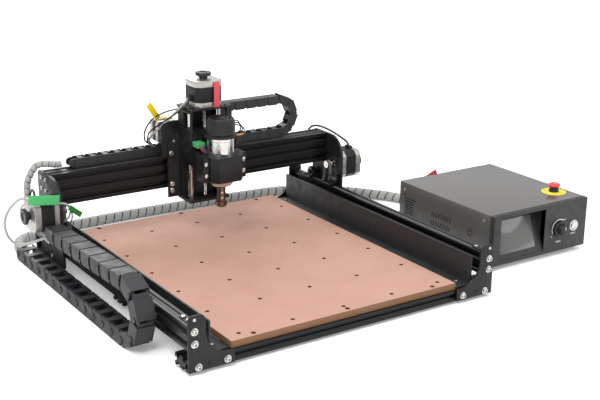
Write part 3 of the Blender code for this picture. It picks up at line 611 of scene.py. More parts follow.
def build_wheels(s):
    """V wheels of the gantry and of the carriage."""
    for side, word in SIDES:
        for place, y, z in (("front", 171, 55.45), ("rear", 247, 55.45), ("lower", 209, -5.9)):
            node = "y_wheel_%s_%s" % (word, place)
            wheel(node, node + "_body", (side * RAIL_X, y, z), "x")
    for place, x, z in (("upper_left", -65, 157.3), ("upper_right", 47, 157.3),
                        ("lower", -9, 76.7)):
        node = "x_wheel_" + place
        wheel(node, node + "_body", (x, 221, z), "y")


def motor(node, body, axis, centre, low, high, flip=False, width=56.4, corner=9.0):
    """A square stepper: laminated core between two cast caps, with screws at its end."""
    side = width / 2
    name = node
    start, end = (high, low) if flip else (low, high)
    step = 1 if end > start else -1
    square = [(-side, -side + corner), (-side + corner, -side), (side - corner, -side),
              (side, -side + corner), (side, side - corner), (side - corner, side),
              (-side + corner, side), (-side, side - corner)]
    reach = width * 0.366
    a, b = centre
    outline = [(p + a, q + b) for p, q in square]
    inner = [(p * 0.985 + a, q * 0.985 + b) for p, q in square]
    body_low, body_high = sorted((start + step * 9.5, end - step * 11.5))
    cap = Shape()
    for low_cap, high_cap in (sorted((start, start + step * 9.5)),
                              sorted((end - step * 11.5, end))):
        cap.prism(outline, low_cap, high_cap, axis)
    cap.piece(name + "_caps", "cast", body, (), "steel", bevel=0.7)
    core = Shape().prism(inner, body_low, body_high, axis)
    core.piece(name + "_core", "core", body, (node,), "motor", bevel=0.25)
    direction = {"x": (step, 0, 0), "y": (0, step, 0), "z": (0, 0, step)}[axis]
    spots = []
    for p in (-reach, reach):
        for q in (-reach, reach):
            place = {"x": (end, a + p, b + q), "y": (a + p, end, b + q),
                     "z": (a + p, b + q, end)}[axis]
            spots.append((place, facing(direction), 0.62))
    scatter(name + "_screws", screw_head(4.2, 1.4, 2.3), spots, "zinc", body)


def hand_wheel(shape, axis, centre, start, step):
    """Adds a stepped, fluted hand wheel to a shape."""
    profile = [(2.5, 0.0), (7.6, 0.0), (8.0, 0.6), (8.0, 4.6), (9.0, 5.4), (13.6, 5.6),
               (15.0, 6.8), (15.0, 10.6), (14.0, 12.0), (7.4, 12.2), (6.2, 10.6), (2.5, 10.2)]
    shape.turned([(r, start + step * h) for r, h in profile], centre, axis, 64, closed=True)


def build_gantry(s):
    """Gantry plates, beam, Y motors with their shafts, and every bolt on them."""
    edge = s.edge / MM
    paint("gantry_beam", "extrusion_x")
    bright, dark, big = [], [], []
    for side, word in SIDES:
        soften("gantry_plate_" + word, "plate", "gantry", edge)
        out = facing((side, 0, 0))
        x = side * 309.05
        for y, z in ((221, 97), (221, 117), (221, 137), (241, 97), (241, 117), (241, 137)):
            bright.append(((x, y, z), out, 0.9))
        for y, z in ((171, 55.45), (247, 55.45), (209, -5.9)):
            big.append(((x, y, z), out))
        for p in (-20.6, 20.6):
            for q in (-20.6, 20.6):
                dark.append(((side * 303.95, Y_MOTOR[0] + p, Y_MOTOR[1] + q),
                             facing((-side, 0, 0)), 0.7))
        near, far = side * 309.3, side * 355.3
        motor("y_motor_" + word, "gantry", "x", Y_MOTOR, min(near, far), max(near, far),
              flip=side < 0)
        shaft = Shape()
        shaft.turned([(2.5, side * 286.2), (2.5, side * 366.0)], (0, *Y_MOTOR), "x", 32)
        shaft.piece("y_shaft_rod_" + word, "steel", "y_shaft_" + word, (), "steel")
        wheel_shape = Shape()
        hand_wheel(wheel_shape, "x", (0, *Y_MOTOR), side * 356.2, side)
        wheel_shape.piece("y_hand_wheel_" + word, "plastic", "y_shaft_" + word,
                          ("y_drive_shaft_" + word,), "black_plastic")
        pulley(side * 287.0, side * 299.0, (0, *Y_MOTOR), "x", "y_pulley_" + word,
               "y_shaft_" + word)
    scatter("beam_bolts", screw_head(4.2, 2.6, 2.4), bright, "zinc", "gantry")
    scatter("wheel_bolts", screw_head(4.6, 2.6, 2.6), big, "zinc", "gantry")
    scatter("motor_bolts", screw_head(4.2, 2.4, 2.4), dark, "dark_steel", "gantry")


def pulley(low, high, centre, axis, name, body):
    """A toothed belt pulley with flanges and a hub."""
    teeth, outline = 20, []
    for k in range(teeth):
        for step, r in ((0.0, 6.1), (0.5, 6.1), (0.56, 5.4), (0.94, 5.4)):
            t = 2 * math.pi * (k + step) / teeth
            outline.append((r * math.cos(t), r * math.sin(t)))
    shape = Shape()
    low, high = sorted((low, high))
    spot = {"x": (centre[1], centre[2]), "y": (centre[0], centre[2])}[axis]
    shape.prism([(a + spot[0], b + spot[1]) for a, b in outline], low + 1.0, high - 1.0, axis)
    for a in (low, high - 1.0):
        shape.turned([(2.6, a), (7.4, a), (7.4, a + 1.0), (2.6, a + 1.0)], centre, axis, 40,
                     closed=True)
    shape.piece(name, "turned", body, (), "steel")


def build_carriage(s):
    """Carriage plate with the Z frame, X and Z motors, guide rods and the threaded screw."""
    edge = s.edge / MM
    soften("carriage_plate", "plate", "x_carriage", edge)
    motor("x_motor", "x_carriage", "y", X_MOTOR, 230.0, 264.0, width=42.3, corner=4.0)
    pulley(214.0, 226.0, (X_MOTOR[0], 0, X_MOTOR[1]), "y", "x_pulley_teeth", "x_pulley")
    rod = Shape().turned([(2.5, 210.0), (2.5, 266.0)], (X_MOTOR[0], 0, X_MOTOR[1]), "y", 32)
    rod.piece("x_pulley_rod", "steel", "x_pulley", ("x_drive_pulley",), "steel")
    motor("z_motor", "x_carriage", "z", (CAR_X, SCREW_Y), 251.3, 301.0)
    wheel_shape = Shape()
    hand_wheel(wheel_shape, "z", (CAR_X, SCREW_Y, 0), 301.8, 1)
    wheel_shape.piece("z_hand_wheel", "plastic", "lead_screw", (), "black_plastic")
    for side, word in SIDES:
        low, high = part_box("z_guide_rod_" + word)
        rod = Shape().turned([(4.6, low.z / MM), (5.0, low.z / MM + 0.4), (5.0, high.z / MM)],
                             (CAR_X + side * 30, SCREW_Y, 0), sides=48)
        rod.piece("z_rod_" + word, "steel", "x_carriage", ("z_guide_rod_" + word,), "steel")
    # trapezoidal thread, four starts, 8 mm lead
    points, faces, sides = [], [], 28
    heights = np.arange(62.0, 246.0, 0.4)
    for z in heights:
        for k in range(sides):
            phase = (z / 2.0 - 4 * k / sides) % 1.0
            r = 4.0 - 0.95 * min(1.0, max(0.0, 2.6 * abs(phase - 0.5) - 0.35))
            t = 2 * math.pi * k / sides
            points.append((CAR_X + r * math.cos(t), SCREW_Y + r * math.sin(t), z))
    for i in range(len(heights) - 1):
        a, b = i * sides, (i + 1) * sides
        faces += [[a + k, a + (k + 1) % sides, b + (k + 1) % sides, b + k] for k in range(sides)]
    faces += [list(range(sides)), list(range(len(points) - sides, len(points)))]
    screw = Shape().mesh(points, faces)
    screw.piece("z_screw_thread", "steel", "lead_screw", ("z_lead_screw",), "steel", angle=60)
    Shape().turned([(4.0, 246.0), (2.6, 247.0), (2.6, 302.0)], (CAR_X, SCREW_Y, 0),
                   sides=32).piece("z_screw_end", "steel", "lead_screw", (), "steel")
    Shape().turned([(5.2, 72.2), (9.0, 72.2), (9.0, 76.0), (12.5, 76.0), (12.5, 74.0), (12.5, 72.1),
                    (5.2, 72.1)], (CAR_X, SCREW_Y, 0), sides=48, closed=True).piece(
        "z_screw_bearing", "dark_steel", "x_carriage", (), "steel")
    front = facing((0, -1, 0))
    bolts = [((CAR_X + dx, 198.95, z), front) for dx, z in
             ((-56, 157.3), (56, 157.3), (-56, 97), (56, 97), (-56, 84), (56, 84))]
    bolts += [((CAR_X + dx, 198.95, z), front, 0.6) for dx, z in ((-50, 180), (50, 180))]
    scatter("carriage_bolts", screw_head(5.0, 3.0, 2.7), bolts, "zinc", "x_carriage")
    top = [((CAR_X + dx, y, 251.0), (0, 0, 0), 0.7) for dx in (-33, 33) for y in (148, 196)]
    top += [((CAR_X + dx, 200.5, 251.0), (0, 0, 0), 0.7) for dx in (-12, 12)]
    scatter("top_plate_screws", screw_head(4.2, 2.2, 2.4), top, "dark_steel", "x_carriage")


def build_spindle(s):
    """Slide block, clamp, spindle body, fan cover, collet and the clamp's bolts."""
    body = "spindle_carriage"
    soften("spindle_mount", "plate", body, s.edge / MM * 1.4)
    centre = (CAR_X, SPINDLE_Y, 0)
    Shape().turned([(9.0, 111.0), (13.0, 110.0), (19.0, 110.6), (25.2, 118.6), (26.0, 121.0),
                    (26.0, 197.0), (25.5, 197.4), (25.5, 198.2), (26.0, 198.6), (26.0, 203.5),
                    (9.0, 203.5)], centre, sides=72, closed=True).piece(
        "spindle_case", "turned", body, ("spindle_body",), "steel")
    Shape().turned([(9.0, 203.7), (30.0, 203.7), (30.2, 204.3), (30.2, 207.6), (27.0, 209.2),
                    (9.0, 209.2)], centre, sides=72, closed=True).piece(
        "spindle_flange", "plastic", body, (), "black_plastic")
    cover = Shape().turned([(22.6, 210.0), (26.2, 210.0), (26.2, 234.5), (24.6, 238.6),
                            (22.6, 239.6), (21.4, 239.6), (21.4, 237.6), (23.4, 236.4),
                            (23.4, 212.0), (22.6, 212.0)], centre, sides=72, closed=True)
    cover.turned([(0.3, 222.0), (7.6, 222.0), (8.2, 236.4), (7.4, 239.4), (0.3, 239.4)], centre,
                 sides=40)
    for k in range(9):
        start = len(cover.points)
        cover.box(7.0, 22.6, -1.1, 1.1, 236.2, 239.2)
        cover.moved(Matrix.Translation(centre) @ Matrix.Rotation(math.radians(40 * k), 4, "Z"),
                    start)
    for r in (14.5,):
        cover.turned([(r - 0.8, 236.3), (r + 0.8, 236.3), (r + 0.8, 239.1), (r - 0.8, 239.1)],
                     centre, sides=56, closed=True)
    for k in range(24):
        start = len(cover.points)
        cover.box(25.9, 26.6, -0.9, 0.9, 212.5, 233.0)
        cover.moved(Matrix.Translation(centre) @ Matrix.Rotation(math.radians(15 * k), 4, "Z"),
                    start)
    cover.piece("spindle_cover", "plastic", body, ("spindle_fan_cover",), "black_plastic")
    fan = Shape()
    for k in range(7):
        start = len(fan.points)
        fan.box(5.0, 21.0, -0.5, 0.5, -5.0, 5.0)
        fan.moved(Matrix.Translation((CAR_X, SPINDLE_Y, 228.0))
                  @ Matrix.Rotation(math.radians(360 / 7 * k), 4, "Z")
                  @ Matrix.Rotation(math.radians(35), 4, "X"), start)
    fan.piece("spindle_fan", "plastic", "spindle_rotor", (), "black_plastic")
    nose = Shape().turned([(1.8, 68.2), (4.2, 67.9), (8.4, 68.0), (9.5, 69.3), (9.5, 78.6),
                           (8.6, 79.4), (8.0, 79.6), (8.0, 106.0), (7.0, 107.0), (7.0, 130.0),
                           (1.8, 130.0)], centre, sides=48, closed=True)
    nose.piece("collet_shaft", "collet", "spindle_rotor", ("spindle_collet",), "collet_steel",
               angle=30)
    flats = Shape()
    for k in range(6):
        start = len(flats.points)
        flats.box(8.2, 9.7, -4.6, 4.6, 70.4, 77.6)
        flats.moved(Matrix.Translation(centre) @ Matrix.Rotation(math.radians(60 * k), 4, "Z"),
                    start)
    flats.piece("collet_nut_flats", "collet", "spindle_rotor", (), "collet_steel", 0.3)
    spots = [((CAR_X + 8.0 * math.cos(t), SPINDLE_Y + 8.0 * math.sin(t), z),
              facing((math.cos(t), math.sin(t), 0)), 0.55)
             for t, z in ((-1.9, 86.0), (-1.9, 96.0), (1.2, 86.0), (1.2, 96.0))]
    scatter("collet_set_screws", screw_head(4.2, 1.2, 2.4), spots, "zinc", "spindle_rotor")
    front = facing((0, -1, 0))
    bolts = [((CAR_X + dx, 92.05, z), front) for dx in (-39.5, 39.5) for z in (136.0, 158.0)]
    scatter("clamp_bolts", screw_head(4.1, 1.6, 2.3), bolts, "zinc", body)
    block = [((CAR_X + dx, 146.95, z), front, 0.7) for dx in (-37, 37) for z in (180.0, 202.0)]
    scatter("block_screws", screw_head(4.2, 2.0, 2.4), block, "dark_steel", body)
    # painted shade: a thin black sheet fills the slit between the two halves of the clamp, where there is
    # only shadow
    for side in (-1, 1):
        Shape().box(CAR_X + side * 36 - 9.2, CAR_X + side * 36 + 9.2, 106.3, 107.4, 122.9, 171.1
                    ).piece("clamp_split_%d" % (side + 1), "rubber", body, (), "rubber")


def chain_link(width, height, pitch, axis):
    """One drag-chain link along +X or +Y: plated on its outer side (+Z), open on the inner."""
    shape = Shape()
    half, h = width / 2, height / 2
    wall = width * 0.085
    tail, tip = -0.5 * pitch - 0.3 * h, 0.5 * pitch - 0.12 * pitch
    for sign in (-1, 1):
        outer = sign * half - (wall if sign > 0 else 0)
        # outer cheek with a straight back and a nose cut at a slant
        shape.prism([(tail, -h), (tip - 0.16 * pitch, -h), (tip, -0.45 * h), (tip, h),
                     (tail, h)], outer, outer + wall, "x")
        inner = outer - sign * wall * 1.05
        shape.prism(arc(0.5 * pitch, 0, 0.86 * h, -90, 90, 10)
                    + [(-0.2 * pitch, 0.86 * h), (-0.2 * pitch, -0.86 * h)],
                    inner, inner + wall, "x")
        rim = outer + sign * wall * 0.5
        shape.turned([(0.1, rim), (0.36 * h, rim), (0.36 * h, rim + wall), (0.1, rim + wall)],
                     (0, -0.5 * pitch, 0), "x", 20)
        shape.box(*sorted((outer + sign * wall * 0.6, outer + sign * wall * 0.6 + wall)),
                  tail, tail + 0.1 * pitch, -0.5 * h, 0.5 * h)
    shape.box(-half + wall, half - wall, tail, tip, h * 0.86, h * 0.98)
    shape.box(-half + wall * 2, half - wall * 2, -0.3 * pitch, 0.6 * pitch, h * 0.72, h * 0.82)
    shape.box(-half + wall, half - wall, -0.34 * pitch, 0.06 * pitch, -h * 0.98, -h * 0.8)
    if axis == "x":
        shape.moved(Matrix.Rotation(-math.pi / 2, 4, "Z"))
    return shape


def build_chains(s):
    """Drag chains: links in three runs each, end brackets, and the leads inside them."""
    pitch = s.y_link / MM
    x = -325.8
    bend, r, centre = -154.0, 61.0 - 12.5 - 1.75, 23.0 + 1.75
    link = chain_link(32.0, 25.0, pitch, "y")
    lower = [((x, bend + pitch * (k + 0.5), -25.4), (math.pi, 0, 0))
             for k in range(int(464 / pitch))]
    steps = max(3, round(math.pi * r / pitch))
    loop = []
    for k in range(steps):
        a = math.radians(270 - (k + 0.5) * 180 / steps)
        loop.append(((x, bend + r * math.cos(a), centre + r * math.sin(a)),
                     (a - math.pi / 2, 0, 0)))
    slope = math.atan2(-11.0, 310.0)
    count = int(305 / pitch)
    upper = [((x, bend + (k + 0.5) * 310 / count, 71.5 - 11.0 * (k + 0.5) / count),
              (slope, 0, 0)) for k in range(count)]
    runs = (("y_links_lower", lower, None, "y_chain_lower_run"),
            ("y_links_bend", loop, "y_chain_bend", "y_chain_loop"),
            ("y_links_upper", upper, None, "y_chain_upper_run"))
    ends = {"y_links_upper": ((bend - 310, 71.5), (156.0, 60.5)),
            "y_links_lower": ((311.0, -25.4), (2 * bend - 311.0, -25.4))}
    for name, spots, body, node in runs:
        obj = scatter(name, link, spots, "nylon", body)
        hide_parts(node)
        if body is None:
            # the straight runs are baked in place and ride on no body; their end places are not used
            start, end = ends[name]
            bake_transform(obj)
    plate = Shape().box(-340.8, -309.4, 138.2, 155.8, 45.6, 48.6)
    plate.box(-312.4, -309.4, 140.0, 177.0, 34.0, 48.4)
    plate.piece("y_chain_bracket", "zinc", "gantry", (), "steel", 0.5)
    foot = Shape().box(-341.0, -310.6, 296.0, 311.0, -37.6, -35.0)
    foot.piece("y_chain_foot", "zinc", "machine", (), "steel", 0.4)

    pitch = s.x_link / MM
    y, low, high, bend = 241.0, 156.3, 224.3, 200.0
    link = chain_link(22.0, 18.0, pitch, "x")
    r, centre = (high - low) / 2 - 0.9, (high + low) / 2 + 0.5
    count = int(470 / pitch)
    lower = [((bend - pitch * (k + 0.5), y, low + 0.1), (0, math.pi, 0)) for k in range(count)]
    steps = round(math.pi * r / pitch)
    loop = []
    for k in range(steps):
        a = math.radians(90 - (k + 0.5) * 180 / steps)
        loop.append(((bend + r * math.cos(a), y, centre + r * math.sin(a)),
                     (0, -(a - math.pi / 2), 0)))
    start = CAR_X + 30.0
    count = round((bend - start) / pitch)
    upper = [((start + (k + 0.5) * (bend - start) / count, y, high), (0, 0, 0))
             for k in range(count)]
    obj = scatter("x_links_lower", link, lower, "nylon", None)
    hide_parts("x_chain_lower_run")
    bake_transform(obj)
    obj = scatter("x_links_bend", link, loop, "nylon", "x_chain_bend")
    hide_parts("x_chain_loop")
    obj = scatter("x_links_upper", link, upper, "nylon", None)
    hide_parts("x_chain_upper_run")
    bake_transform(obj)


MAIN_HARNESS = [(520.0, 56.6, 5.0), (520.0, 74.0, 4.0), (518.0, 118.0, -10.0),
                (508.0, 186.0, -26.5), (476.0, 246.0, -27.1), (404.0, 330.0, -27.1),
                (312.0, 386.0, -27.1), (200.0, 402.0, -27.1), (60.0, 409.0, -27.1),
                (-90.0, 412.0, -27.1), (-220.0, 406.0, -27.1), (-300.0, 380.0, -27.0),
                (-323.0, 344.0, -26.6), (-325.0, 326.0, -26.0), (-325.0, 312.2, -26.0)]
GANTRY_HARNESS = [(-331.0, 156.4, 50.6), (-331.0, 168.0, 50.4), (-333.0, 190.0, 50.2),
                  (-336.0, 216.0, 52.0), (-339.0, 236.0, 74.0), (-336.0, 246.0, 105.0),
                  (-332.0, 251.0, 130.0), (-316.0, 250.0, 156.0), (-296.0, 243.0, 159.5),
                  (-283.0, 241.0, 157.2), (-270.8, 241.0, 157.0)]


def even(points, step):
    """Points at an even step along a smooth route."""
    path = smooth(points, 24)
    runs = np.cumsum([0.0] + [(b - a).length for a, b in zip(path, path[1:])])
    wanted = np.linspace(0.0, runs[-1], int(runs[-1] / step) + 1)
    columns = [np.interp(wanted, runs, [p[i] for p in path]) for i in range(3)]
    return [Vector(p) for p in zip(*columns)], float(runs[-1])


def build_harness(s):
    """Two bundles of leads in spiral wrap."""
    turn = s.wrap_turn / MM

    def wrapped(radius, pitch):
        def at(run, angle):
            place = (run / pitch + angle / (2 * math.pi)) % 1.0
            groove = max(0.0, 1.0 - abs(place - 0.5) / 0.11)
            return radius - 2.9 * min(1.0, groove * 1.8) - 0.25 * abs(2 * place - 1.0)
        return at
    path, length = even(MAIN_HARNESS, 1.15)
    main = Shape().tube(path, wrapped(10.8, turn), 26)
    obj = main.piece("main_harness_wrap", "wrap", "machine", ("main_harness",), "wrap", angle=30)
    inner = Shape().tube(path[::6] + [path[-1]], 8.9, 16)
    inner.piece("main_harness_leads", "wire", "machine", (), "wrap")
    path, _ = even(GANTRY_HARNESS, 0.9)
    thin = Shape().tube(path, wrapped(6.5, turn * 0.62), 22)
    thin.piece("gantry_harness_wrap", "wrap", "gantry", ("gantry_harness",), "wrap", angle=30)


def lead(name, points, radius, mat, body, sides=10):
    path, _ = even(points, max(1.5, radius * 1.6))
    return Shape().tube(path, radius, sides).piece(name, mat, body, (), "wrap")


def tag(name, place, size, turn, mat, body):
    """A blank cable tag: a thin folded card with a tab round its lead."""
    a, b, t = size
    shape = Shape().box(-a / 2, a / 2, -t / 2, t / 2, -b / 2, b / 2)
    shape.moved(Matrix.Translation(place) @ Euler([math.radians(v) for v in turn]).to_matrix()
                .to_4x4())
    return shape.piece(name, mat, body, (), "wrap", 0.15)


def build_leads(s):
    """Motor leads, plugs and blank coloured tags."""
    for side, word in SIDES:
        Shape().box(side * 344 - 4, side * 344 + 4, Y_MOTOR[0] - 8, Y_MOTOR[0] + 8, 113.8, 119.6
                    ).piece("y_plug_" + word, "plastic", "gantry", (), "black_plastic", 0.4)
    lead("y_lead_left", [(-344, 187, 118), (-344, 189, 126), (-340, 208, 126), (-334, 236, 112),
                         (-334, 244, 96)], 2.2, "wire", "gantry")
    lead("y_lead_right", [(344, 187, 118), (343, 192, 126), (334, 216, 138), (322, 244, 148),
                          (306, 257.5, 152), (292, 258, 147), (284, 255.6, 130),
                          (280, 254, 112), (276, 253.6, 98)], 2.2, "wire", "gantry")
    z_plug = (CAR_X - 28.3, SCREW_Y, 268.0)
    Shape().box(z_plug[0] - 6, z_plug[0] + 0.5, SCREW_Y - 8, SCREW_Y + 8, 263, 271).piece(
        "z_plug", "plastic", "x_carriage", (), "black_plastic", 0.4)
    lead("z_lead_a", [(z_plug[0] - 5, 171, 267), (-44, 173, 262), (-54, 184, 246),
                      (-66, 200, 226), (-82, 212, 206), (-92, 226, 190), (-92, 240, 176),
                      (-84, 246, 168)], 2.3, "wire_grey", "x_carriage")
    lead("z_lead_b", [(z_plug[0] - 5, 167, 266), (-46, 168, 256), (-60, 180, 240),
                      (-86, 206, 214), (-97, 226, 196), (-94, 243, 172)], 1.5, "wire",
         "x_carriage")
    lead("z_lead_c", [(-50, 196, 243), (-72, 209, 236), (-92, 222, 222), (-101, 236, 198),
                      (-96, 248, 176), (-86, 250, 167)], 1.5, "wire", "x_carriage")
    tag("tag_yellow_high", (-92, 216, 238), (13, 42, 1.2), (0, -38, 20), "tag_yellow",
        "x_carriage")
    tag("tag_yellow_low", (-64, 226, 221.5), (30, 1.2, 12), (0, 8, -12), "tag_yellow",
        "x_carriage")
    tag("tag_red_z", (CAR_X + 11.0, SCREW_Y - 31.4, 275.0), (12.5, 47, 0.8), (-4, 3, 4),
        "tag_red", "x_carriage")
    tag("tag_green_y", (-340, 153, 121.5), (56, 17, 1.4), (-6, 7, -4), "tag_green", "gantry")
    tag("tag_dark_green_y", (-281, 158, 90), (10, 38, 1.2), (14, -52, 8), "tag_dark_green",
        "gantry")
    lead("tag_green_lead", [(-372, 187, 100), (-371, 174, 112), (-366, 160, 118),
                            (-340, 157.5, 116), (-314, 157.5, 110), (-300, 158, 107),
                            (-290, 158, 98), (-292, 162, 80), (-299, 168, 70)], 1.8,
         "wire_grey", "gantry")
    lead("y_loop_lead", [(-352, 178, 110), (-370, 182, 122), (-390, 190, 104),
                         (-397.5, 200, 76), (-390, 206, 46), (-374, 204, 30), (-356, 190, 34),
                         (-338, 172, 44), (-333, 160, 48)], 2.4, "wire_grey", "gantry")
    lead("y_cover_lead", [(-309, 166, 92), (-306, 160, 99), (-298, 158, 104), (-288, 159, 92),
                          (-286, 163, 74), (-290, 168, 62)], 1.3, "wire", "gantry")
    # spindle leads: from the flange to the carriage
    body = "spindle_carriage"
    Shape().box(CAR_X + 27, CAR_X + 43, 98, 110, 202.6, 204.6).piece(
        "spindle_tag", "tag_orange", body, (), "wrap", 0.2)
    Shape().box(CAR_X + 27, CAR_X + 38, 98, 112, 184.0, 202.0).piece(
        "spindle_filter", "plastic", body, (), "black_plastic", 0.8)
    for i, mat in enumerate(("wire", "wire", "wire")):
        lead("spindle_lead_%d" % i,
             [(CAR_X + 26, 102 + 2 * i, 232 - 4 * i), (CAR_X + 33 + 3 * i, 100, 230 - 5 * i),
              (CAR_X + 40 + 4 * i, 102, 216 - 3 * i), (CAR_X + 36 + 2 * i, 108, 202),
              (CAR_X + 46 + 3 * i, 124, 199 + 3 * i), (CAR_X + 44 + 2 * i, 140, 190),
              (CAR_X + 39, 150, 182)], 1.2, mat, body)
    Shape().box(CAR_X - 38, CAR_X - 22, 127, 146.8, 180, 190).piece(
        "terminal_block", "tag_green", body, (), "wrap", 0.5)
    for i, mat in enumerate(("wire_red", "wire_blue", "wire")):
        lead("terminal_lead_%d" % i,
             [(CAR_X - 34 + 5 * i, 128, 184), (CAR_X - 33 + 5 * i, 119, 178 - i),
              (CAR_X - 26 + 4 * i, 119, 170 + i), (CAR_X - 20 + 3 * i, 130, 172)], 1.3, mat, body)
    # rear of the control box
    Shape().box(503, 537, 55.8, 64, -8, 18).piece(
        "box_socket", "plastic", "machine", (), "black_plastic", 1.0)
    Shape().box(432, 452, 55.8, 66, 40, 62).piece(
        "box_plug", "plastic", "machine", (), "black_plastic", 1.2)
    lead("box_lead", [(442, 65, 50), (446, 80, 44), (464, 94, 22), (488, 104, 4),
                      (506, 110, -6), (517, 114, -9)], 4.0, "wire", "machine")
    tag("tag_red_box", (470, 70, 62), (12, 40, 1.0), (0, 68, 0), "tag_red", "machine")
    lead("tag_red_lead", [(446, 65, 56), (456, 74, 60), (470, 73, 60), (486, 66, 52),
                          (488, 57, 46)], 1.8, "wire", "machine")


def build_control_box(s):
    """Cover with vents, front panel, display, knob, button and emergency stop."""
    (x0, x1), (y0, y1), (z0, z1) = WIDTH_BOX, DEPTH_BOX, HEIGHT_BOX
    width = x1 - x0
    paint("controller_base", "moulding")
    outline = [(x0, z0 + 1), (x0 + 2, z0 + 1), (x0 + 2, z1 - 2), (x1 - 2, z1 - 2),
               (x1 - 2, z0 + 1), (x1, z0 + 1), (x1, z1), (x0, z1)]
    # the cover's grey colour is black paint plus painted sheen
    cover = Shape().prism(outline, y0 + 12, y1 - 2, "y").piece(
        "box_cover", "paint", "machine", ("controller_cover",), "box_paint", bevel=1.0)
    Shape().box(x0 + 0.4, x1 - 0.4, y1 - 2, y1, z0 + 1, z1 - 0.4).piece(
        "box_rear", "moulding", "machine", (), "box_plastic", 0.5)
    cutters = Shape()
    for x in (x0, x1):
        side = math.copysign(1, x - 500)
        for k in range(7):
            cutters.box(x - 5, x + 5, 4.0 if k == 6 else 12.0, 38.0, 6.0 + 5.2 * k, 8.4 + 5.2 * k)
        for row, z in enumerate((10.0, 28.0)):
            for k in range(s.vents):
                start = len(cutters.points)
                cutters.box(-5, 5, -1.1, 1.1, -6.2, 6.2)
                cutters.moved(Matrix.Translation((x, -46.0 - 6.6 * k - 2.0 * row, z))
                              @ Matrix.Rotation(math.radians(24), 4, "X"), start)
        for k in range(8):
            start = len(cutters.points)
            cutters.box(-5, 5, 3.0, 9.5, -1.0, 1.0)
            cutters.moved(Matrix.Translation((x, -158.0, 22.0))
                          @ Matrix.Rotation(math.radians(45 * k), 4, "X"), start)
        rim = Shape()
        for a, b, c, d in ((-12, 42, 0.0, 0.8), (-12, 42, 44.2, 45.0), (-12, -11.2, 0, 45),
                           (41.2, 42, 0, 45)):
            rim.box(*sorted((x - side * 0.5, x + side * 0.06)), a, b, c, d)
        rim.piece("vent_frame_%d" % (side > 0), "zinc", "machine", (), "box_plastic")
    cut_by(cover, cutters)
    screws = [((x, y, z), facing((math.copysign(1, x - 500), 0, 0)), 0.7)
              for x in (x0, x1) for y in (-196.0, 40.0) for z in (-14.0, 56.0)]
    scatter("box_screws", screw_head(4.4, 2.0, 2.4), screws, "zinc", "machine")
    # front panel with a sloped display bay
    left, right = x0 + 0.07 * width, x0 + 0.54 * width
    panel = Shape().box(x0, x1, y0, y0 + 11.7, z0, z1).piece(
        "box_front", "moulding", "machine", ("controller_front_panel",), "box_plastic",
        bevel=1.4)
    bay = Shape().box(left, right, y0 - 5, y0 + 20, z0 + 8, z1 - 6)
    bay.turned([(4.2, y0 - 5), (4.2, y0 + 20)], (552.5, 0, 18), "y", 24)
    bay.turned([(8.4, y0 - 5), (8.4, y0 + 20)], (591.7, 0, 18), "y", 32)
    cut_by(panel, bay)
    low, high, depth = z0 + 8, z1 - 6, 30.0

    def slope(z):
        """Depth of the display's face at a height."""
        return y0 + 1.0 + (z - low) / (high - low) * depth
    liner = Shape().prism([(slope(low), low), (slope(high), high), (slope(high) + 2.0, high),
                           (slope(low) + 2.0, low)], left - 1.5, right + 1.5, "x")
    for a in (left - 1.5, right):
        liner.prism([(y0 + 1.0, low - 0.5), (slope(high) + 1.0, high + 0.5),
                     (y0 + 1.0, high + 0.5)], a, a + 1.5, "x")
    liner.box(left - 1.5, right + 1.5, y0 + 1.0, slope(high) + 2.0, high, high + 1.5)
    liner.piece("display_bay", "bay", "machine", (), "box_plastic", 0.2)
    glass_low, glass_high = low + 11, high - 14
    glass = Shape().prism([(slope(glass_low) - 0.6, glass_low), (slope(glass_high) - 0.6, glass_high),
                           (slope(glass_high) + 0.6, glass_high),
                           (slope(glass_low) + 0.6, glass_low)], left + 7, right - 18, "x")
    glass.piece("display_glass", "screen", "machine", (), "box_plastic", 0.2)
    # speed knob, its scale and its pointer
    centre = (552.5, y0, 18.0)
    Shape().turned([(0.2, -17.2), (8.6, -17.2), (9.6, -16.6), (10.4, -15.4), (11.0, -6.4),
                    (14.6, -5.8), (15.5, -4.6), (15.5, -0.5), (3.4, -0.5), (3.4, 5.8),
                    (0.2, 5.8)], centre, "y", 64).piece(
        "knob_body", "plastic", "knob", ("speed_knob",), "black_plastic")
    Shape().box(552.0, 553.0, y0 - 17.5, y0 - 17.0, 19.0, 26.0).piece(
        "knob_pointer", "white", "knob", (), "box_plastic")
    steps = [math.radians(205 - 5 * k) for k in range(31)]
    band = [(552.5 + 19.4 * math.cos(t), 18.0 + 19.4 * math.sin(t)) for t in steps]
    band += [(552.5 + (18.6 - 0.9 * k / 30) * math.cos(t), 18.0 + (18.6 - 0.9 * k / 30)
              * math.sin(t)) for k, t in reversed(list(enumerate(steps)))]
    Shape().prism(band, y0 - 0.12, y0 + 0.1, "y").piece(
        "knob_scale", "white", "machine", (), "box_plastic")
    words = (("speed_word", "SPEED", 552.5, -10.0, 5.0), ("start_word", "START", 591.7, 0.5, 4.6),
             ("low_word", "0", 533.0, 3.0, 4.2), ("high_word", "10", 566.5, 33.0, 4.2))
    for name, text, x, z, size in words:
        curve = bpy.data.curves.new(name, "FONT")
        curve.body = text
        curve.size = size * MM
        curve.align_x = "CENTER"
        curve.extrude = 0.00005
        curve.materials.append(MATS["white"])
        obj = bpy.data.objects.new(name, curve)
        bpy.context.scene.collection.objects.link(obj)
        obj.matrix_world = Matrix.Translation((x * MM, (y0 - 0.06) * MM, z * MM)) \
            @ Matrix.Rotation(math.pi / 2, 4, "X")
        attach(obj, "machine")
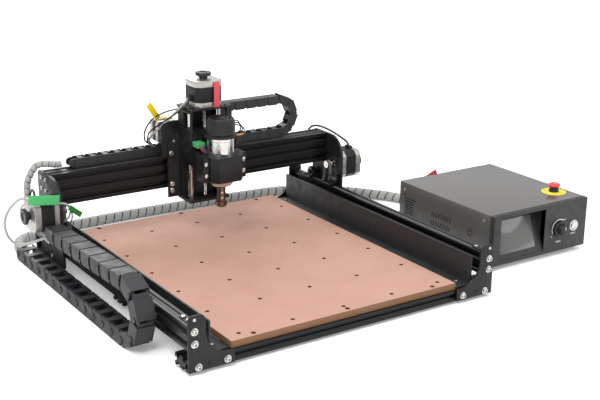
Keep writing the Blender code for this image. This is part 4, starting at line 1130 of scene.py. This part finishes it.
    # start button
    centre = (591.7, y0, 18.0)
    Shape().turned([(8.5, -0.3), (8.6, -1.8), (10.6, -1.8), (11.2, -1.0), (11.2, 0.2),
                    (8.5, 0.2)], centre, "y", 56, closed=True).piece(
        "start_ring", "turned", "machine", (), "steel")
    Shape().turned([(0.2, -3.4), (6.2, -3.4), (7.0, -3.8), (7.8, -3.2), (8.0, -2.4), (8.0, 5.8),
                    (0.2, 5.8)], centre, "y", 56).piece(
        "start_cap", "turned", "start", ("start_button",), "steel")
    # emergency stop
    centre = (592.0, -165.0, 0)
    Shape().turned([(9.8, 70.2), (23.9, 70.2), (24.0, 71.2), (23.6, 71.6), (9.8, 71.6)], centre,
                   sides=72, closed=True).piece("stop_plate", "yellow", "machine", (),
                                                "red_plastic")
    letters = Shape()
    for k in range(28):
        start = len(letters.points)
        letters.box(-0.35, 0.35, 17.6 if k % 3 else 16.8, 20.6, 71.55, 71.68)
        letters.moved(Matrix.Translation(centre) @ Matrix.Rotation(2 * math.pi * k / 28, 4, "Z"),
                      start)
    letters.piece("stop_plate_marks", "plastic", "machine", (), "black_plastic")
    Shape().turned([(5.4, 70.3), (9.6, 70.3), (9.6, 75.6), (9.2, 76.2), (9.2, 78.4), (8.6, 79.0),
                    (5.4, 79.0)], centre, sides=64, closed=True).piece(
        "stop_collar", "plastic", "machine", ("estop_collar",), "black_plastic")
    Shape().turned([(0.2, 74.5), (4.9, 74.5), (4.9, 83.1), (7.0, 83.2), (11.4, 83.3),
                    (12.2, 84.4), (12.1, 85.6), (11.4, 87.0), (9.0, 88.3), (5.0, 88.9),
                    (0.2, 89.0)], centre, sides=72).piece(
        "stop_head", "red", "stop", ("estop_button",), "red_plastic", angle=50)
    arrows = Shape()
    for k in range(3):
        start = len(arrows.points)
        arrows.prism(arc(0, 0, 7.0, -30, 34, 10) + arc(0, 0, 6.2, 34, -30, 10), 88.5, 88.75)
        arrows.moved(Matrix.Translation(centre) @ Matrix.Rotation(math.radians(120 * k), 4, "Z"),
                     start)
    arrows.piece("stop_arrows", "white", "stop", (), "red_plastic")


def lamp(name, place, aim, size, power, colour=(1, 1, 1)):
    light = bpy.data.lights.new(name, "AREA")
    light.shape = "DISK"
    light.size = size
    light.energy = power
    light.color = colour
    obj = bpy.data.objects.new(name, light)
    bpy.context.scene.collection.objects.link(obj)
    obj.location = place
    obj.rotation_euler = (Vector(aim) - Vector(place)).to_track_quat("-Z", "Y").to_euler()


def build_stage():
    """Pale floor, even surroundings, soft lamps and the camera."""
    floor = bpy.data.materials.new("pale_floor")
    floor.use_nodes = True
    tree = Tree(floor.node_tree)
    out = floor.node_tree.nodes["Material Output"]
    shader = floor.node_tree.nodes["Principled BSDF"]
    shader.inputs["Base Color"].default_value = (0.93, 0.93, 0.93, 1)
    shader.inputs["Roughness"].default_value = 0.6
    shader.inputs["Specular IOR Level"].default_value = 0.2
    ray = tree.add("ShaderNodeLightPath")
    glow = tree.add("ShaderNodeEmission", {"Color": (1, 1, 1, 1), "Strength": 0.22})
    both = tree.add("ShaderNodeAddShader", {0: shader.outputs[0], 1: glow.outputs[0]})
    mixed = tree.add("ShaderNodeMixShader", {0: ray.outputs["Is Camera Ray"],
                                             1: shader.outputs[0], 2: both.outputs[0]})
    floor.node_tree.links.new(mixed.outputs[0], out.inputs["Surface"])
    MATS["floor"] = floor
    mesh = Shape().box(-9000, 9000, -9000, 9000, FLOOR_Z - 20, FLOOR_Z - 0.05).data("floor",
                                                                                 "floor")
    obj = bpy.data.objects.new("floor", mesh)
    bpy.context.scene.collection.objects.link(obj)
    world = bpy.data.worlds.new("studio")
    bpy.context.scene.world = world
    world.use_nodes = True
    tree = Tree(world.node_tree)
    world.node_tree.nodes.clear()
    up = tree.add("ShaderNodeSeparateXYZ",
                  {0: tree.add("ShaderNodeTexCoord").outputs["Generated"]})
    sky = tree.add("ShaderNodeMapRange", {"Value": up.outputs["Z"], "From Min": -0.2,
                                          "From Max": 0.9, "To Min": 0.35, "To Max": 1.0})
    ray = tree.add("ShaderNodeLightPath")
    level = tree.add("ShaderNodeMix", {0: ray.outputs["Is Camera Ray"], 2: sky.outputs[0],
                                       3: 1.0}, data_type="FLOAT")
    back = tree.add("ShaderNodeBackground", {"Color": (1, 1, 1, 1), "Strength": level.outputs[0]})
    tree.add("ShaderNodeOutputWorld", {0: back.outputs[0]})
    lamp("key", (-1.6, -1.2, 2.4), (0, 0, 0), 1.6, 60)
    lamp("fill", (2.0, -2.0, 1.6), (0.1, 0, 0), 2.2, 22)
    lamp("rim", (0.4, 2.4, 1.8), (0, 0, 0.1), 1.8, 40)
    camera = bpy.data.cameras.new("camera")
    camera.lens = 68.05
    camera.sensor_width = 36.0
    eye = bpy.data.objects.new("camera", camera)
    bpy.context.scene.collection.objects.link(eye)
    yaw, pitch, roll = (math.radians(v) for v in (33.816, 17.699, 0.717))
    look = Vector((math.sin(yaw) * math.cos(pitch), math.cos(yaw) * math.cos(pitch),
                   -math.sin(pitch)))
    right = Vector((math.cos(yaw), -math.sin(yaw), 0))
    above = right.cross(look)
    tilted = right * math.cos(roll) + above * math.sin(roll)
    above = above * math.cos(roll) - right * math.sin(roll)
    turn = Matrix((tilted, above, -look)).transposed().to_4x4()
    eye.matrix_world = Matrix.Translation((-1.0206, -1.6699, 0.7322)) @ turn
    bpy.context.scene.camera = eye
    bpy.context.scene.view_settings.view_transform = "Standard"


# Operators and panel ---------------------------------------------------------------------------
def operator(key, label, text, build):
    """One operator of the add-on that builds a group of pieces."""

    def execute(self, context):
        build(context.scene.router_sizes)
        return {"FINISHED"}
    members = {"__doc__": text, "bl_idname": "router." + key, "bl_label": label,
               "execute": execute}
    return type("ROUTER_OT_" + key, (bpy.types.Operator,), members)


def main():
    register()
    for item in OPERATORS:
        area, name = item.bl_idname.split(".")
        getattr(getattr(bpy.ops, area), name)()
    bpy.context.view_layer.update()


class ROUTER_OT_materials(bpy.types.Operator):
    """Makes one material for each finish of the machine"""

    bl_idname = "router.materials"
    bl_label = "Finishes"

    def execute(self, context):
        make_materials(context.scene.router_looks)
        return {"FINISHED"}


class ROUTER_OT_stage(bpy.types.Operator):
    """Adds the floor, the lamps and the camera"""

    bl_idname = "router.stage"
    bl_label = "Stage"

    def execute(self, context):
        build_stage()
        return {"FINISHED"}


GROUPS = (
    ("frame", "Frame", "Builds the fixed frame with its bolts", build_frame),
    ("bed", "Bed", "Builds the wooden bed with inserts and screws", build_bed),
    ("belts", "Belts", "Builds the toothed belts and their clamps", build_belts),
    ("wheels", "Wheels", "Builds the V wheels", build_wheels),
    ("gantry", "Gantry", "Builds the gantry plates and Y motors", build_gantry),
    ("carriage", "Carriage", "Builds the carriage and its Z axis", build_carriage),
    ("spindle", "Spindle", "Builds the spindle and its clamp", build_spindle),
    ("chains", "Drag chains", "Builds both drag chains from links", build_chains),
    ("harness", "Harnesses", "Builds the wrapped bundles of leads", build_harness),
    ("leads", "Leads and tags", "Builds thin leads, plugs and blank tags", build_leads),
    ("box", "Control box", "Builds the control box and its controls", build_control_box),
)
OPERATORS = [ROUTER_OT_materials] + [operator(*group) for group in GROUPS] + [ROUTER_OT_stage]


class ROUTER_PT_panel(bpy.types.Panel):
    """Lists the settings and the pieces in the order in which they are built"""

    bl_label = "CNC router"
    bl_idname = "ROUTER_PT_panel"
    bl_space_type = "VIEW_3D"
    bl_region_type = "UI"
    bl_category = "Router"

    def draw(self, context):
        for settings in (context.scene.router_looks, context.scene.router_sizes):
            for key in settings.__annotations__:
                self.layout.prop(settings, key)
        for item in OPERATORS:
            self.layout.operator(item.bl_idname)


CLASSES = [RouterLooks, RouterSizes] + OPERATORS + [ROUTER_PT_panel]


def register():
    for item in CLASSES:
        bpy.utils.register_class(item)
    bpy.types.Scene.router_looks = bpy.props.PointerProperty(type=RouterLooks)
    bpy.types.Scene.router_sizes = bpy.props.PointerProperty(type=RouterSizes)


def unregister():
    del bpy.types.Scene.router_sizes
    del bpy.types.Scene.router_looks
    for item in reversed(CLASSES):
        bpy.utils.unregister_class(item)


if __name__ == "__main__":
    main()
